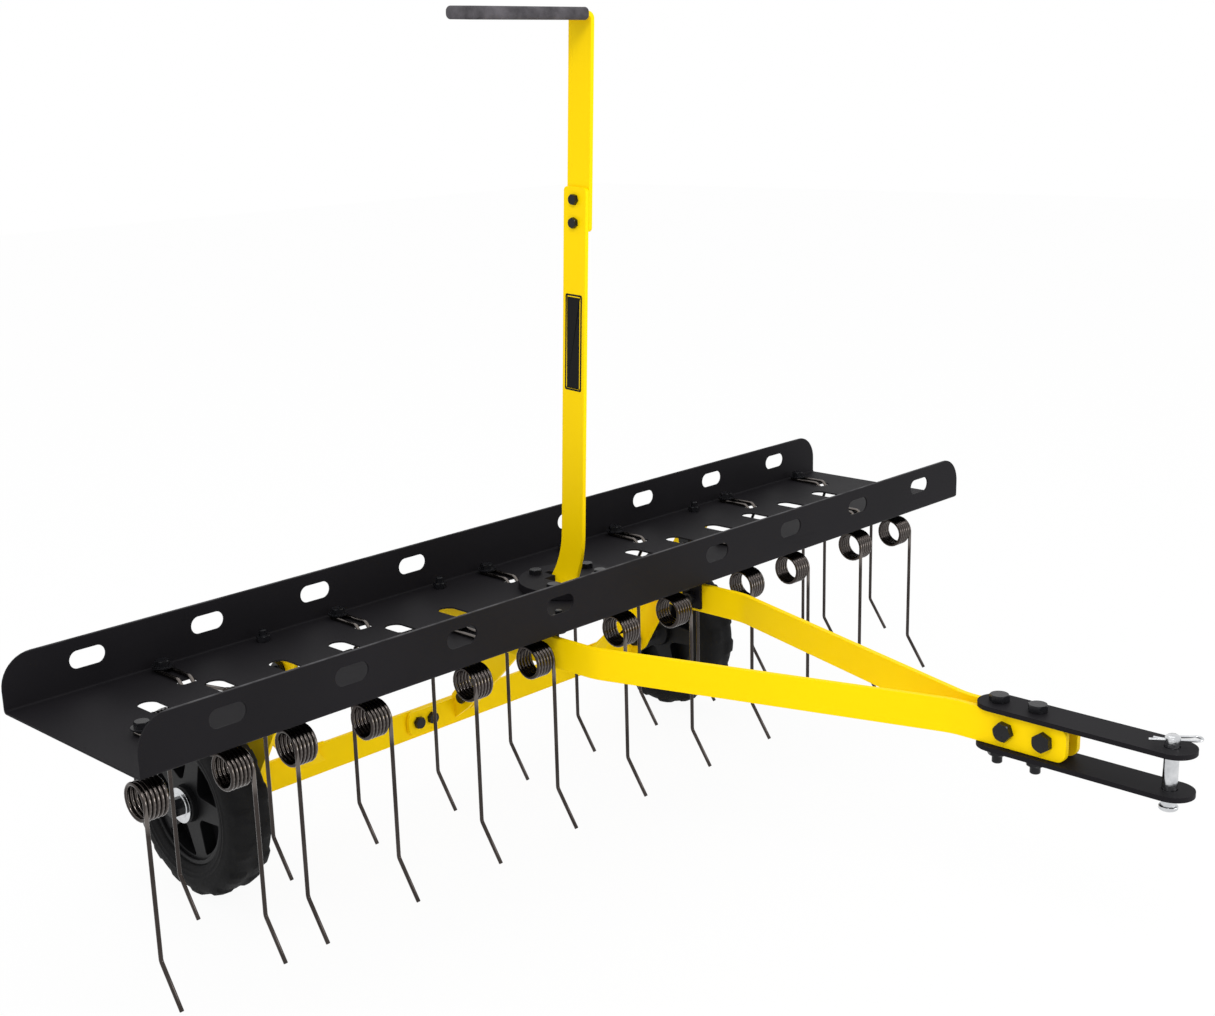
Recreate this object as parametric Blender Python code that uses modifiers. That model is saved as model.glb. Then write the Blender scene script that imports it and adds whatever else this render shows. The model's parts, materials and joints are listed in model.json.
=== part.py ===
"""Tow-behind dethatcher: a weight tray on a wheeled lift frame, with two rows of
spring tines, a draw bar and a hand lever. Builds in metres, +Z up, hitch towards -Y."""

import math

import bmesh
import bpy
from mathutils import Matrix, Vector

# Tray
TRAY_LENGTH = 1.2192
TRAY_DEPTH = 0.234
WALL_HEIGHT = 0.054
SHEET = 0.002
BEND_RADIUS = 0.004
CORNER_RADIUS = 0.032
WALL_SLOT = (0.038, 0.018)
WALL_SLOTS = 4
WALL_SLOT_CENTRE_GAP = 0.246
WALL_SLOT_END = 0.0876
WALL_SLOT_PITCH = (TRAY_LENGTH / 2 - WALL_SLOT_END - WALL_SLOT_CENTRE_GAP / 2) / (WALL_SLOTS - 1)
WALL_SLOT_HEIGHT = 0.032
FLOOR_SLOT = (0.020, 0.040)
FLOOR_SLOTS = 7
FLOOR_SLOT_END = 0.0986
FLOOR_SLOT_PITCH = (TRAY_LENGTH / 2 - FLOOR_SLOT_END) / FLOOR_SLOTS
FLOOR_SLOT_Y = 0.022

# Gaps, the bite of fused pieces, and how far a cutter reaches past a face
GAP = 0.0003
BOLT_PLAY = 0.0004
BITE = 0.0002
BIG_BITE = 0.001
REACH = 0.006

# Spring tines
WIRE = 0.0040
COIL_RADIUS = 0.0163
WHOLE_TURNS = 2
COIL_PITCH = 0.0085
COIL_DROP = 0.0255
COIL_START = math.radians(108)
COIL_TURNS = WHOLE_TURNS + (math.pi - COIL_START) / (2 * math.pi)
POINTS_PER_CURL = 8
LOOP_HALF = 0.0065
LEG_BEND = 0.005
LEG_DIP = 0.004
LEG_SPREAD = 0.0012
ROW_COIL_Y = {"rear": 0.030, "front": -0.098}
COIL_TO_BOLT = 0.070
LEG_HOLE = (0.022, 0.013)
LEG_HOLE_TO_COIL = 0.028
BEND_DROP = 0.165
TIP_DROP = 0.203
TIP_FORWARD = 0.026
REAR_TINES = (-8.5, -4.5, -0.5, 3.5, 7.5, 10.375)
OUTER_FINGER_INSET = 0.003
FINGER_PITCH = (TRAY_LENGTH / 2 - OUTER_FINGER_INSET) / (REAR_TINES[-1] + 1)

# Wheels and lift frame
WHEEL_RADIUS = 0.104
WHEEL_X = 0.3736
TYRE_WIDTH = 0.052
RIM_RADIUS = 0.067
RIM_WIDTH = 0.040
RIM_WALL = 0.005
WEB_THICK = 0.012
WINDOW_EDGE = 0.003
WINDOW_SHARE = 0.72
WINDOW_TIP = math.radians(6.9)
HUB_FLARE = 0.006
SPOKES = 5
HUB_RADIUS = 0.021
HUB_WIDTH = 0.047
LUGS = 16
LUG_DEPTH = 0.0025
CROWN_HALF = 0.004
CROWN_DROP = 0.002
SHOULDER_IN = 0.007
SHOULDER_DROP = 0.014
SEAT_RISE = 0.012
SEAT_IN = 0.004
AXLE_WASHER = (0.0195, 0.002)
SPACER_RADIUS = 0.0105
AXLE_Y = 0.185
AXLE_DROP = 0.183
PIVOT_Y = 0.093
PIVOT_DROP = 0.030
ARM_X = 0.315
BAR_THICK = 0.005
BAR_HEIGHT = 0.035
CROSS_Y = 0.196
CROSS_TOP = -0.177
CROSS_THICK = 0.0048
ARM_WIDTH = 0.034
BRACE_FOOT = (0.117, 0.077)
BRACE_FOOT_DROP = 0.200
BRACE_HEAD_DROPS = (0.118, 0.080)
BRACE_LEAN = 0.074
BRACE_THICK = 0.004
PIVOT_LOBE = 0.014
PIVOT_FLANGE = 0.034
PIVOT_FRONT = 0.030
PIVOT_BACK = 0.018
PIVOT_BOLT_OUT = 0.0205
PIVOT_BOLT_BACK = 0.007

# Lever
LEVER_WIDTH = 0.032
LEVER_THICK = 0.005
LEVER_END = (0.175, -0.172)
LEVER_SLOPE = math.radians(45)
LEVER_LEAN = math.radians(3)
LEVER_BEND_RADIUS = 0.117
LEVER_KNEE = (-0.0127, 0.0177)
LOWER_TOP = 0.437
UPPER_FOOT = 0.392
LEVER_TOP = 0.611
JOINT_BOLTS = (0.425, 0.401)
HANDLE_REACH = 0.155
HANDLE_BEND = 0.008
GRIP_SIZE = (0.040, 0.0125)
GRIP_EDGE = 0.42
GRIP_START = 0.004
GRIP_CAP = 0.004
FOOT_THICK = 0.005
FOOT_HALF = 0.0145
FOOT_BOLTS = (-0.066, -0.045)
FOOT_BOLT_DROP = 0.191
FOOT_BOLT_PITCH = 0.032
FOOT_FLANGE = (-0.034, -0.005)
FOOT_TAB = (-0.030, -0.001)
FOOT_FLANGE_CORNER = 0.0095

# Slot plate
PLATE_RADIUS = 0.058
PLATE_Y = -0.008
PLATE_THICK = 0.0091
SLOT_FRONT = -0.061
SLOT_BACK = 0.0295
SLOT_WIDTH = 0.0075
POCKET_SIDE = -0.020
POCKET_FRONT = -0.030
POCKET_BACK = 0.012
FLOOR_SLOT_MARGIN = 0.002
PLATE_BOLT_CIRCLE = 0.043
PLATE_BOLT_TURNS = (19.5, 109.5, 199.5)
NOTCH_ROOM = 0.0012

# Draw arms and hitch
ARM_OUT_PAST_FINGER = 0.01134
ARM_OUT = FINGER_PITCH * 2 + ARM_OUT_PAST_FINGER
ARM_IN = 0.010
ARM_THICK = 0.006
ARM_HEIGHT = 0.0325
ARM_TOP = -0.0065
ARM_BEND_OUT = -0.158
ARM_BEND_IN = -0.505
ARM_FRONT = -0.618
ARM_NOSE = 0.009
CLIP_Y = (0.029 - TRAY_DEPTH / 2, TRAY_DEPTH / 2 - 0.017)
CLIP_LEG = 0.030
CLIP_THICK = 0.004
CLIP_WIDTH = 0.026
CLIP_FOOT = 0.012
CLIP_BOLT_X = ARM_OUT - 0.020
ARM_BACK = CLIP_Y[1] + CLIP_FOOT
HITCH_BACK = -0.526
HITCH_TIP = -0.727
HITCH_WIDTH = 0.038
HITCH_THICK = 0.0045
HITCH_BOLTS = (-0.545, -0.583)
SIDE_BOLTS = (-0.5590, -0.5970)
PIN_Y = -0.706
PIN_RADIUS = 0.00635
PIN_PLAY = 0.0005
PIN_SIDES = 16
PIN_BELOW = 0.014
PIN_ABOVE = 0.010
PIN_HEAD = (0.0080, 0.0035)
PIN_EDGE = 0.001
PIN_CHAMFER = 0.002
CLIP_WIRE = 0.0025
CLIP_HEIGHT = 0.0055
CLIP_TURN = math.radians(-56)
CLIP_BOW = 0.0045
CLIP_STRAIGHT = (-0.019, 0.0195)
CLIP_HUG = (math.radians(62), math.radians(128))
CLIP_TAIL = ((-0.0100, 0.0038), (-0.017, 0.0075))

# Fasteners: shank radius, head across flats, head height
M8 = (0.004, 0.013, 0.0055)
M10 = (0.005, 0.016, 0.0065)
M12 = (0.006, 0.018, 0.0075)
NUT_HEIGHT = 0.0065
END_THREAD = 0.003
WASHER = 0.0016
WASHER_RADIUS = 0.0105

MERGE = 0.00002
FLAT = math.radians(0.5)
SHARP = math.radians(35)
QUARTER = math.pi / 2

TRAY_Y = -(HITCH_TIP + AXLE_Y + WHEEL_RADIUS) / 2
FLOOR_Z = WHEEL_RADIUS + AXLE_DROP

YELLOW = ("yellow powder coat", (0.93, 0.62, 0.004), 0.38, 0.0)
BLACK = ("black powder coat", (0.018, 0.017, 0.019), 0.42, 0.0)
SPRING_STEEL = ("tempered spring wire", (0.10, 0.085, 0.075), 0.35, 0.9)
BLACK_BOLT = ("black fastener", (0.022, 0.022, 0.025), 0.4, 0.6)
ZINC = ("zinc plate", (0.68, 0.69, 0.70), 0.25, 1.0)
FOAM = ("grip rubber", (0.045, 0.042, 0.046), 0.85, 0.0)
TYRE_RUBBER = ("tyre rubber", (0.020, 0.020, 0.021), 0.75, 0.0)
RIM_PLASTIC = ("rim plastic", (0.028, 0.028, 0.030), 0.4, 0.0)

for old in list(bpy.data.objects):
    bpy.data.objects.remove(old, do_unlink=True)

unit = bpy.data.collections.new("tow_dethatcher")
tools = bpy.data.collections.new("cutters")
bpy.context.scene.collection.children.link(unit)
bpy.context.scene.collection.children.link(tools)


def material(spec):
    name, colour, roughness, metallic = spec
    found = bpy.data.materials.get(name)
    if found:
        return found
    made = bpy.data.materials.new(name)
    made.use_nodes = True
    shader = made.node_tree.nodes["Principled BSDF"]
    shader.inputs["Base Color"].default_value = (*colour, 1)
    shader.inputs["Roughness"].default_value = roughness
    shader.inputs["Metallic"].default_value = metallic
    return made


def empty(name, parent=None, location=(0, 0, 0), lean=0.0):
    made = bpy.data.objects.new(name, None)
    unit.objects.link(made)
    made.parent = parent
    made.location = location
    made.rotation_euler.x = lean
    return made


def add(name, mesh, look, parent, location=(0, 0, 0), smooth=True):
    made = bpy.data.objects.new(name, mesh)
    unit.objects.link(made)
    made.parent = parent
    made.location = location
    mesh.materials.clear()
    mesh.materials.append(material(look))
    if smooth:
        mesh.polygons.foreach_set("use_smooth", [True] * len(mesh.polygons))
        mesh.set_sharp_from_angle(angle=SHARP)
    return made


def arc(centre, radius, start, end, steps):
    return [(centre[0] + radius * math.cos(start + (end - start) * i / steps),
             centre[1] + radius * math.sin(start + (end - start) * i / steps))
            for i in range(steps + 1)]


def circle(centre, radius, steps=12):
    return arc(centre, radius, 0, 2 * math.pi, steps)[:-1]


def hole(centre, bolt_radius, sides=6):
    """A bolt's hole, whose flats clear the bolt."""
    return circle(centre, (bolt_radius + BOLT_PLAY) / math.cos(math.pi / sides), sides)


def obround(centre, length, width, along_v=False, steps=3):
    """A slot with round ends, its length along u unless along_v is set."""
    radius = width / 2
    half = length / 2 - radius
    points = arc((half, 0), radius, -QUARTER, QUARTER, steps)
    points += arc((-half, 0), radius, QUARTER, 3 * QUARTER, steps)
    if along_v:
        points = [(-v, u) for u, v in points]
    return [(centre[0] + u, centre[1] + v) for u, v in points]


def rounded_box(u0, u1, v0, v1, radius, steps=4):
    corners = [(u1 - radius, v0 + radius, 3), (u1 - radius, v1 - radius, 0),
               (u0 + radius, v1 - radius, 1), (u0 + radius, v0 + radius, 2)]
    points = []
    for u, v, turn in corners:
        points += arc((u, v), radius, turn * QUARTER, (turn + 1) * QUARTER, steps)
    return points


def rectangle(u0, u1, v0, v1):
    return [(u0, v0), (u1, v0), (u1, v1), (u0, v1)]


PLANES = {"XY": Matrix(((1, 0, 0), (0, 1, 0), (0, 0, 1))),
          "YZ": Matrix(((0, 0, 1), (1, 0, 0), (0, 1, 0))),
          "XZ": Matrix(((1, 0, 0), (0, 0, -1), (0, 1, 0)))}


def cleaned(mesh, outward=False, flat=False):
    """Merges doubled points, and on request turns faces outwards and merges flat ones."""
    work = bmesh.new()
    work.from_mesh(mesh)
    bmesh.ops.remove_doubles(work, verts=work.verts, dist=MERGE)
    if outward:
        bmesh.ops.recalc_face_normals(work, faces=work.faces)
    if flat:
        bmesh.ops.dissolve_limit(work, angle_limit=FLAT, verts=work.verts, edges=work.edges)
    work.to_mesh(mesh)
    work.free()
    return mesh


def evaluated(holder):
    """The mesh that an object's curve or modifiers make; the object is removed."""
    bpy.context.view_layer.update()
    mesh = bpy.data.meshes.new_from_object(
        holder.evaluated_get(bpy.context.evaluated_depsgraph_get()))
    bpy.data.objects.remove(holder, do_unlink=True)
    return mesh


def tool_object(name, data):
    made = bpy.data.objects.new(name, data)
    tools.objects.link(made)
    made.hide_render = True
    made.display_type = "WIRE"
    return made


def plate(name, loops, thickness, plane="XY", level=0.0):
    """A flat outline with holes, filled and extruded, centred on its plane's level."""
    curve = bpy.data.curves.new(name, "CURVE")
    curve.dimensions = "2D"
    curve.fill_mode = "BOTH"
    curve.extrude = thickness / 2
    for loop in loops:
        spline = curve.splines.new("POLY")
        spline.points.add(len(loop) - 1)
        spline.use_cyclic_u = True
        for point, (u, v) in zip(spline.points, loop):
            point.co = (u, v, 0, 1)
    mesh = cleaned(evaluated(tool_object(name, curve)), outward=True)
    turn = PLANES[plane]
    mesh.transform(Matrix.Translation(turn @ Vector((0, 0, level))) @ turn.to_4x4())
    return mesh


def wire(name, points, thickness):
    curve = bpy.data.curves.new(name, "CURVE")
    curve.dimensions = "3D"
    curve.bevel_depth = thickness / 2
    curve.bevel_resolution = 1
    curve.use_fill_caps = True
    spline = curve.splines.new("POLY")
    spline.points.add(len(points) - 1)
    for point, place in zip(spline.points, points):
        point.co = (*place, 1)
    return cleaned(evaluated(tool_object(name, curve)), outward=True)


def cylinder(radius, depth, centre, axis="Z", sides=12):
    work = bmesh.new()
    bmesh.ops.create_cone(work, cap_ends=True, segments=sides, radius1=radius,
                          radius2=radius, depth=depth)
    turn = {"X": Matrix.Rotation(QUARTER, 4, "Y"),
            "Y": Matrix.Rotation(QUARTER, 4, "X"),
            "Z": Matrix.Identity(4)}[axis]
    mesh = bpy.data.meshes.new("round")
    work.to_mesh(mesh)
    work.free()
    mesh.transform(Matrix.Translation(Vector(centre)) @ turn)
    return mesh


def drill(bolt_radius, depth, centre, axis):
    """A six-sided cutter whose flats clear a bolt."""
    return cylinder((bolt_radius + BOLT_PLAY) / math.cos(math.pi / 6), depth, centre, axis, 6)


def join(meshes):
    work = bmesh.new()
    for mesh in meshes:
        work.from_mesh(mesh)
    joined = bpy.data.meshes.new("joined")
    work.to_mesh(joined)
    work.free()
    return joined


def cut(mesh, cutters, operation="DIFFERENCE"):
    """Runs one exact boolean of a joined set of cutters on a mesh."""
    body = tool_object("body", mesh)
    tool = tool_object("tool", join(cutters))
    boolean = body.modifiers.new("cut", "BOOLEAN")
    boolean.operation = operation
    boolean.solver = "EXACT"
    boolean.object = tool
    done = evaluated(body)
    bpy.data.objects.remove(tool, do_unlink=True)
    return cleaned(done, flat=True)


def fuse(mesh, others):
    return cut(mesh, others, "UNION")


def turned(name, profile, steps):
    """Turns an (x, radius) outline round the X axis; one that starts on the axis ends on it."""
    work = bmesh.new()
    ring = [work.verts.new((x, 0, radius)) for x, radius in profile]
    if profile[0][1] > 0:
        ring.append(ring[0])
    for here, after in zip(ring, ring[1:]):
        work.edges.new((here, after))
    mesh = bpy.data.meshes.new(name)
    work.to_mesh(mesh)
    work.free()
    holder = tool_object(name, mesh)
    screw = holder.modifiers.new("turn", "SCREW")
    screw.axis = "X"
    screw.steps = steps
    screw.render_steps = steps
    screw.use_merge_vertices = True
    screw.merge_threshold = MERGE
    return cleaned(evaluated(holder), outward=True)


def aim(mesh, spot, axis, sign):
    """Turns a part made along +X to point along an axis, and moves it to its spot."""
    direction = {"X": Vector((sign, 0, 0)), "Y": Vector((0, sign, 0)),
                 "Z": Vector((0, 0, sign))}[axis]
    turn = direction.to_track_quat("X", "Z").to_matrix().to_4x4()
    mesh.transform(Matrix.Translation(Vector(spot)) @ turn)
    return mesh


def bolt(size, grip, spot, axis="Z", sign=1, end=END_THREAD):
    """A hex bolt with its nut: the head sits on spot and the nut a grip's length below.
    Six turning steps give the hexagons of the head and the nut."""
    radius, flats, height = size
    corner = flats / math.sqrt(3)
    foot = -grip - NUT_HEIGHT
    tail = [(foot - end, 0), (foot - end, radius), (foot, radius)] if end else [(foot, 0)]
    profile = tail + [(foot, corner), (-grip, corner), (-grip, radius), (0, radius),
                      (0, corner), (height, corner), (height, 0)]
    return aim(cleaned(turned("bolt", profile, 6), flat=True), spot, axis, sign)


def ring(name, radius, bore, height, spot, axis, sign, sides):
    """A washer or a sleeve from spot onwards, its bore clear of the bolt."""
    loops = [circle((0, 0), radius, sides), hole((0, 0), bore, 8)]
    return aim(plate(name, loops, height, "YZ", height / 2), spot, axis, sign)


def slanted(angle):
    """A direction in the YZ plane, leaning back from upright towards the hitch."""
    return Vector((-math.sin(angle), math.cos(angle)))


def wall_slot_places():
    half = WALL_SLOT_CENTRE_GAP / 2
    outward = [half + WALL_SLOT_PITCH * i for i in range(WALL_SLOTS)]
    return [-x for x in outward] + outward


def floor_slot_places():
    outward = [FLOOR_SLOT_PITCH * k for k in range(2, FLOOR_SLOTS + 1)]
    return [-x for x in outward] + outward


def tine_places():
    """Every spring's row and centre; the front row is the rear one turned end for end."""
    places = [("rear", FINGER_PITCH * k) for k in REAR_TINES]
    places += [("front", -FINGER_PITCH * k) for k in reversed(REAR_TINES)]
    return places


def bracket_bolt_places():
    pivot = [(side * (ARM_X + PIVOT_BOLT_OUT), PIVOT_Y + PIVOT_BOLT_BACK) for side in (-1, 1)]
    clips = [(side * CLIP_BOLT_X, y) for side in (-1, 1) for y in CLIP_Y]
    return pivot + clips


def plate_bolt_places():
    """The slot plate's own bolts; a spring's bolt holds its fourth corner."""
    return [(PLATE_BOLT_CIRCLE * math.cos(math.radians(turn)),
             PLATE_Y + PLATE_BOLT_CIRCLE * math.sin(math.radians(turn)))
            for turn in PLATE_BOLT_TURNS]


def slot_outline(margin=0.0):
    """The lever's lane, with a pocket on its left where the lever can be sprung aside."""
    half = SLOT_WIDTH / 2 + margin
    front = SLOT_FRONT - margin
    back = SLOT_BACK + margin
    side = POCKET_SIDE - margin
    return [(half, front), (half, back), (-half, back), (-half, POCKET_BACK + margin),
            (side, POCKET_BACK + margin), (side, POCKET_FRONT - margin),
            (-half, POCKET_FRONT - margin), (-half, front)]


def under_slot_plate(x, y):
    return math.hypot(x, y - PLATE_Y) < PLATE_RADIUS


def tine_bolt_seats():
    """Each spring bolt's place, and the height of what its washer presses on."""
    over_wire = SHEET + GAP * 2 + WIRE
    over_plate = SHEET + GAP * 2 + PLATE_THICK
    spots = [(x, ROW_COIL_Y[row] + COIL_TO_BOLT) for row, x in tine_places()]
    return [(spot, over_plate if under_slot_plate(*spot) else over_wire) for spot in spots]


def channel_outline():
    """The tray's section: a floor and two walls of one sheet with round bends."""
    half = TRAY_DEPTH / 2
    front = (-half + BEND_RADIUS, BEND_RADIUS)
    back = (half - BEND_RADIUS, BEND_RADIUS)
    inner = BEND_RADIUS - SHEET
    outline = [(-half, WALL_HEIGHT)]
    outline += arc(front, BEND_RADIUS, 2 * QUARTER, 3 * QUARTER, 4)
    outline += arc(back, BEND_RADIUS, -QUARTER, 0, 4)
    outline += [(half, WALL_HEIGHT), (half - SHEET, WALL_HEIGHT)]
    outline += arc(back, inner, 0, -QUARTER, 4)
    outline += arc(front, inner, 3 * QUARTER, 2 * QUARTER, 4)
    return outline + [(-half + SHEET, WALL_HEIGHT)]


def wall_cutters():
    """The strap slots through both walls, and what rounds the walls' upper corners.
    The rounding starts a gap outside the tray's end, so that it crosses the end face."""
    through = TRAY_DEPTH + REACH * 2
    cutters = [plate("wall_slot", [obround((x, WALL_SLOT_HEIGHT), *WALL_SLOT)], through, "XZ")
               for x in wall_slot_places()]
    end = TRAY_LENGTH / 2
    centre = (end - CORNER_RADIUS, WALL_HEIGHT - CORNER_RADIUS)
    corner = [(end + REACH, centre[1])] + arc(centre, CORNER_RADIUS + GAP, 0, QUARTER, 6)
    corner += [(centre[0], WALL_HEIGHT + REACH), (end + REACH, WALL_HEIGHT + REACH)]
    for side in (-1, 1):
        cutters.append(plate("corner", [[(side * x, z) for x, z in corner]], through, "XZ"))
    return cutters


def floor_cutters():
    """The slots, the springs' leg holes, the plate's bolt holes and the lever's slot."""
    loops = [obround((x, FLOOR_SLOT_Y), FLOOR_SLOT[1], FLOOR_SLOT[0], True)
             for x in floor_slot_places()]
    for row, x in tine_places():
        y = ROW_COIL_Y[row] + LEG_HOLE_TO_COIL
        loops.append(rectangle(x - LEG_HOLE[0] / 2, x + LEG_HOLE[0] / 2,
                               y - LEG_HOLE[1] / 2, y + LEG_HOLE[1] / 2))
    loops += [hole(spot, M8[0]) for spot in plate_bolt_places()]
    loops.append(slot_outline(FLOOR_SLOT_MARGIN))
    return [plate("floor_cut", [loop], SHEET * 3, "XY", SHEET / 2) for loop in loops]


def make_tray():
    """The folded sheet with the bolts that stand in its floor."""
    channel = plate("channel", [channel_outline()], TRAY_LENGTH, "YZ")
    channel = cut(cut(channel, wall_cutters()), floor_cutters())
    bolts = []
    washers = []
    for (x, y), seat in tine_bolt_seats():
        head = seat + WASHER - BITE
        bolts.append(bolt(M8, head + GAP, (x, y, head), end=0))
        washers.append(plate("washer", [circle((x, y), WASHER_RADIUS, 10)], WASHER, "XY",
                             seat + WASHER / 2))
    head = SHEET - BITE
    for x, y in bracket_bolt_places():
        bolts.append(bolt(M8, head + CLIP_THICK + GAP * 2, (x, y, head), end=0))
    add("tray", fuse(fuse(channel, bolts), washers), BLACK, root)


def half_spring():
    """One side of a double spring: from the bolt's loop through the floor to the tip.
    Places are relative to the spring's middle, its coil's height and the floor."""
    over = SHEET + GAP + WIRE / 2
    under = -GAP * 2 - WIRE / 2
    start_x = FINGER_PITCH - COIL_TURNS * COIL_PITCH
    first_y = COIL_RADIUS * math.cos(COIL_START)
    first_z = -COIL_DROP + COIL_RADIUS * math.sin(COIL_START)
    reach = (under - first_z) / math.tan(COIL_START - QUARTER)
    points = [(LOOP_HALF, COIL_TO_BOLT + LOOP_HALF, over),
              (LOOP_HALF, LEG_HOLE_TO_COIL + LEG_BEND, over),
              (LOOP_HALF + LEG_SPREAD, LEG_HOLE_TO_COIL - LEG_DIP, under),
              (start_x, first_y + reach, under)]
    steps = round(COIL_TURNS * POINTS_PER_CURL)
    for i in range(steps + 1):
        part = i / steps
        turn = COIL_START + COIL_TURNS * 2 * math.pi * part
        points.append((start_x + COIL_TURNS * COIL_PITCH * part,
                       COIL_RADIUS * math.cos(turn),
                       -COIL_DROP + COIL_RADIUS * math.sin(turn)))
    points.append((FINGER_PITCH, -COIL_RADIUS, -BEND_DROP))
    points.append((FINGER_PITCH, -COIL_RADIUS - TIP_FORWARD, -TIP_DROP))
    return points


def spring_route():
    side = half_spring()
    mirrored = [(-x, y, z) for x, y, z in reversed(side)]
    return mirrored + side


def least_self_gap(points, thickness):
    """The smallest clear distance between stretches four wires or more apart along it."""
    dense = []
    travelled = 0.0
    for here, after in zip(points, points[1:]):
        a = Vector(here)
        b = Vector(after)
        length = (b - a).length
        pieces = max(1, int(length / (thickness / 4)))
        for i in range(pieces):
            dense.append((a.lerp(b, i / pieces), travelled + length * i / pieces))
        travelled += length
    least = travelled
    for i, (a, reach) in enumerate(dense):
        for b, other in dense[i + 1:]:
            if other - reach > thickness * 4:
                least = min(least, (a - b).length)
    return least - thickness


def make_tines():
    route = spring_route()
    curls = 2 * len(tine_places()) * COIL_TURNS
    print("least gap of a spring to itself: %.2f mm, curls in all: %.1f"
          % (1000 * least_self_gap(route, WIRE), curls))
    mesh = wire("tine", route, WIRE)
    count = {"rear": 0, "front": 0}
    for row, x in tine_places():
        count[row] += 1
        add("tine_%s_%d" % (row, count[row]), mesh, SPRING_STEEL, root,
            location=(x, ROW_COIL_Y[row], 0))


def make_slot_plate():
    """A thick guide disc over the lever's slot, notched below for one spring's hairpin."""
    spots = plate_bolt_places()
    shared = [spot for spot, seat in tine_bolt_seats() if under_slot_plate(*spot)]
    loops = [circle((0, PLATE_Y), PLATE_RADIUS, 28), slot_outline()]
    loops += [hole(spot, M8[0]) for spot in shared]
    low = SHEET + GAP
    disc = plate("slot_plate", loops, PLATE_THICK, "XY", low + PLATE_THICK / 2)
    side = LOOP_HALF + WIRE / 2 + NOTCH_ROOM
    front = PLATE_Y - PLATE_RADIUS - REACH
    notches = [plate("notch", [rectangle(x - side, x + side, front, y + side)], WIRE * 2, "XY",
                     low + GAP) for x, y in shared]
    top = low + PLATE_THICK - BITE
    bolts = [bolt(M8, top + GAP, (x, y, top), end=0) for x, y in spots]
    add("slot_plate", fuse(cut(disc, notches), bolts), BLACK, root)


def pivot_local(y, z):
    """A place on the unit, given from the lift frame's pivot."""
    return (y - PIVOT_Y, z + PIVOT_DROP)


def to_pivot(mesh):
    """Moves a mesh that was made in the unit's measures to the lift frame's pivot."""
    mesh.transform(Matrix.Translation((0, *pivot_local(0, 0))))
    return mesh


def lever_outline():
    """The lower bar's edge: straight from its foot, bent up through the slot, then upright."""
    half = LEVER_WIDTH / 2
    along = slanted(LEVER_SLOPE)
    upright = slanted(LEVER_LEAN)
    knee = Vector(pivot_local(*LEVER_KNEE))
    foot = Vector(pivot_local(*LEVER_END))
    reach = LEVER_BEND_RADIUS * math.tan((LEVER_SLOPE - LEVER_LEAN) / 2)
    centre = knee - along * reach + Vector((along.y, -along.x)) * LEVER_BEND_RADIUS
    top = knee + upright * (LOWER_TOP - LEVER_KNEE[1]) / math.cos(LEVER_LEAN)
    low = math.pi + LEVER_SLOPE
    high = math.pi + LEVER_LEAN
    out = arc(centre, LEVER_BEND_RADIUS + half, low, high, 8)
    back = arc(centre, LEVER_BEND_RADIUS - half, high, low, 8)
    crown = arc(top - upright * half, half, high, LEVER_LEAN, 8)
    heel = arc(foot, half, LEVER_SLOPE, LEVER_SLOPE - math.pi, 8)
    return out + crown + back + heel


def lever_foot_bolt_places():
    foot = Vector(LEVER_END)
    return [tuple(foot), tuple(foot + slanted(LEVER_SLOPE) * FOOT_BOLT_PITCH)]


def joint_bolt_heights():
    """How far up the lever's line each bolt of its joint stands."""
    return [z - LEVER_KNEE[1] for z in JOINT_BOLTS]


def make_lever_lower():
    upright = slanted(LEVER_LEAN)
    knee = Vector(pivot_local(*LEVER_KNEE))
    holes = [hole(knee + upright * z, M8[0]) for z in joint_bolt_heights()]
    holes += [hole(pivot_local(*spot), M8[0]) for spot in lever_foot_bolt_places()]
    bar = plate("lever_lower", [lever_outline()] + holes, LEVER_THICK, "YZ")
    add("lever_lower", bar, YELLOW, lift)


def make_lever_upper():
    """A bar that laps the lower one and bends over at the top to carry the grip."""
    left = LEVER_THICK / 2 + GAP
    right = left + LEVER_THICK
    top = LEVER_TOP - LEVER_KNEE[1]
    foot = UPPER_FOOT - LEVER_KNEE[1]
    corner = (right - HANDLE_BEND, top - HANDLE_BEND)
    profile = [(left, foot), (right, foot)]
    profile += arc(corner, HANDLE_BEND, 0, QUARTER, 4)
    profile += [(-HANDLE_REACH, top), (-HANDLE_REACH, top - LEVER_THICK)]
    profile += arc(corner, HANDLE_BEND - LEVER_THICK, QUARTER, 0, 4)
    upper = plate("lever_upper", [profile], LEVER_WIDTH, "XZ")
    middle = (left + right) / 2
    bores = [drill(M8[0], LEVER_THICK * 4, (middle, 0, z), "X") for z in joint_bolt_heights()]
    add("lever_upper", cut(upper, bores), YELLOW, lever_line)
    outer = -left
    for number, z in enumerate(joint_bolt_heights(), 1):
        add("lever_joint_bolt_%d" % number,
            bolt(M8, right + GAP - outer, (outer, 0, z), "X", -1), BLACK_BOLT, lever_line,
            smooth=False)


def make_grip():
    """A foam sleeve, closed at its far end, over the lever's handle."""
    width, height = GRIP_SIZE
    middle = LEVER_TOP - LEVER_KNEE[1] - LEVER_THICK / 2
    sleeve = rounded_box(-width / 2, width / 2, middle - height / 2, middle + height / 2,
                         height * GRIP_EDGE, 3)
    near = -GRIP_START
    far = -HANDLE_REACH - GRIP_CAP
    grip = plate("grip", [sleeve], near - far, "YZ", (near + far) / 2)
    half_width = LEVER_WIDTH / 2 + GAP
    half_height = LEVER_THICK / 2 + GAP
    depth = HANDLE_REACH + GAP
    bore = plate("bore", [rectangle(-half_width, half_width, middle - half_height,
                                    middle + half_height)], depth, "YZ", -depth / 2)
    add("lever_grip", cut(grip, [bore]), FOAM, lever_line)


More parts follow.
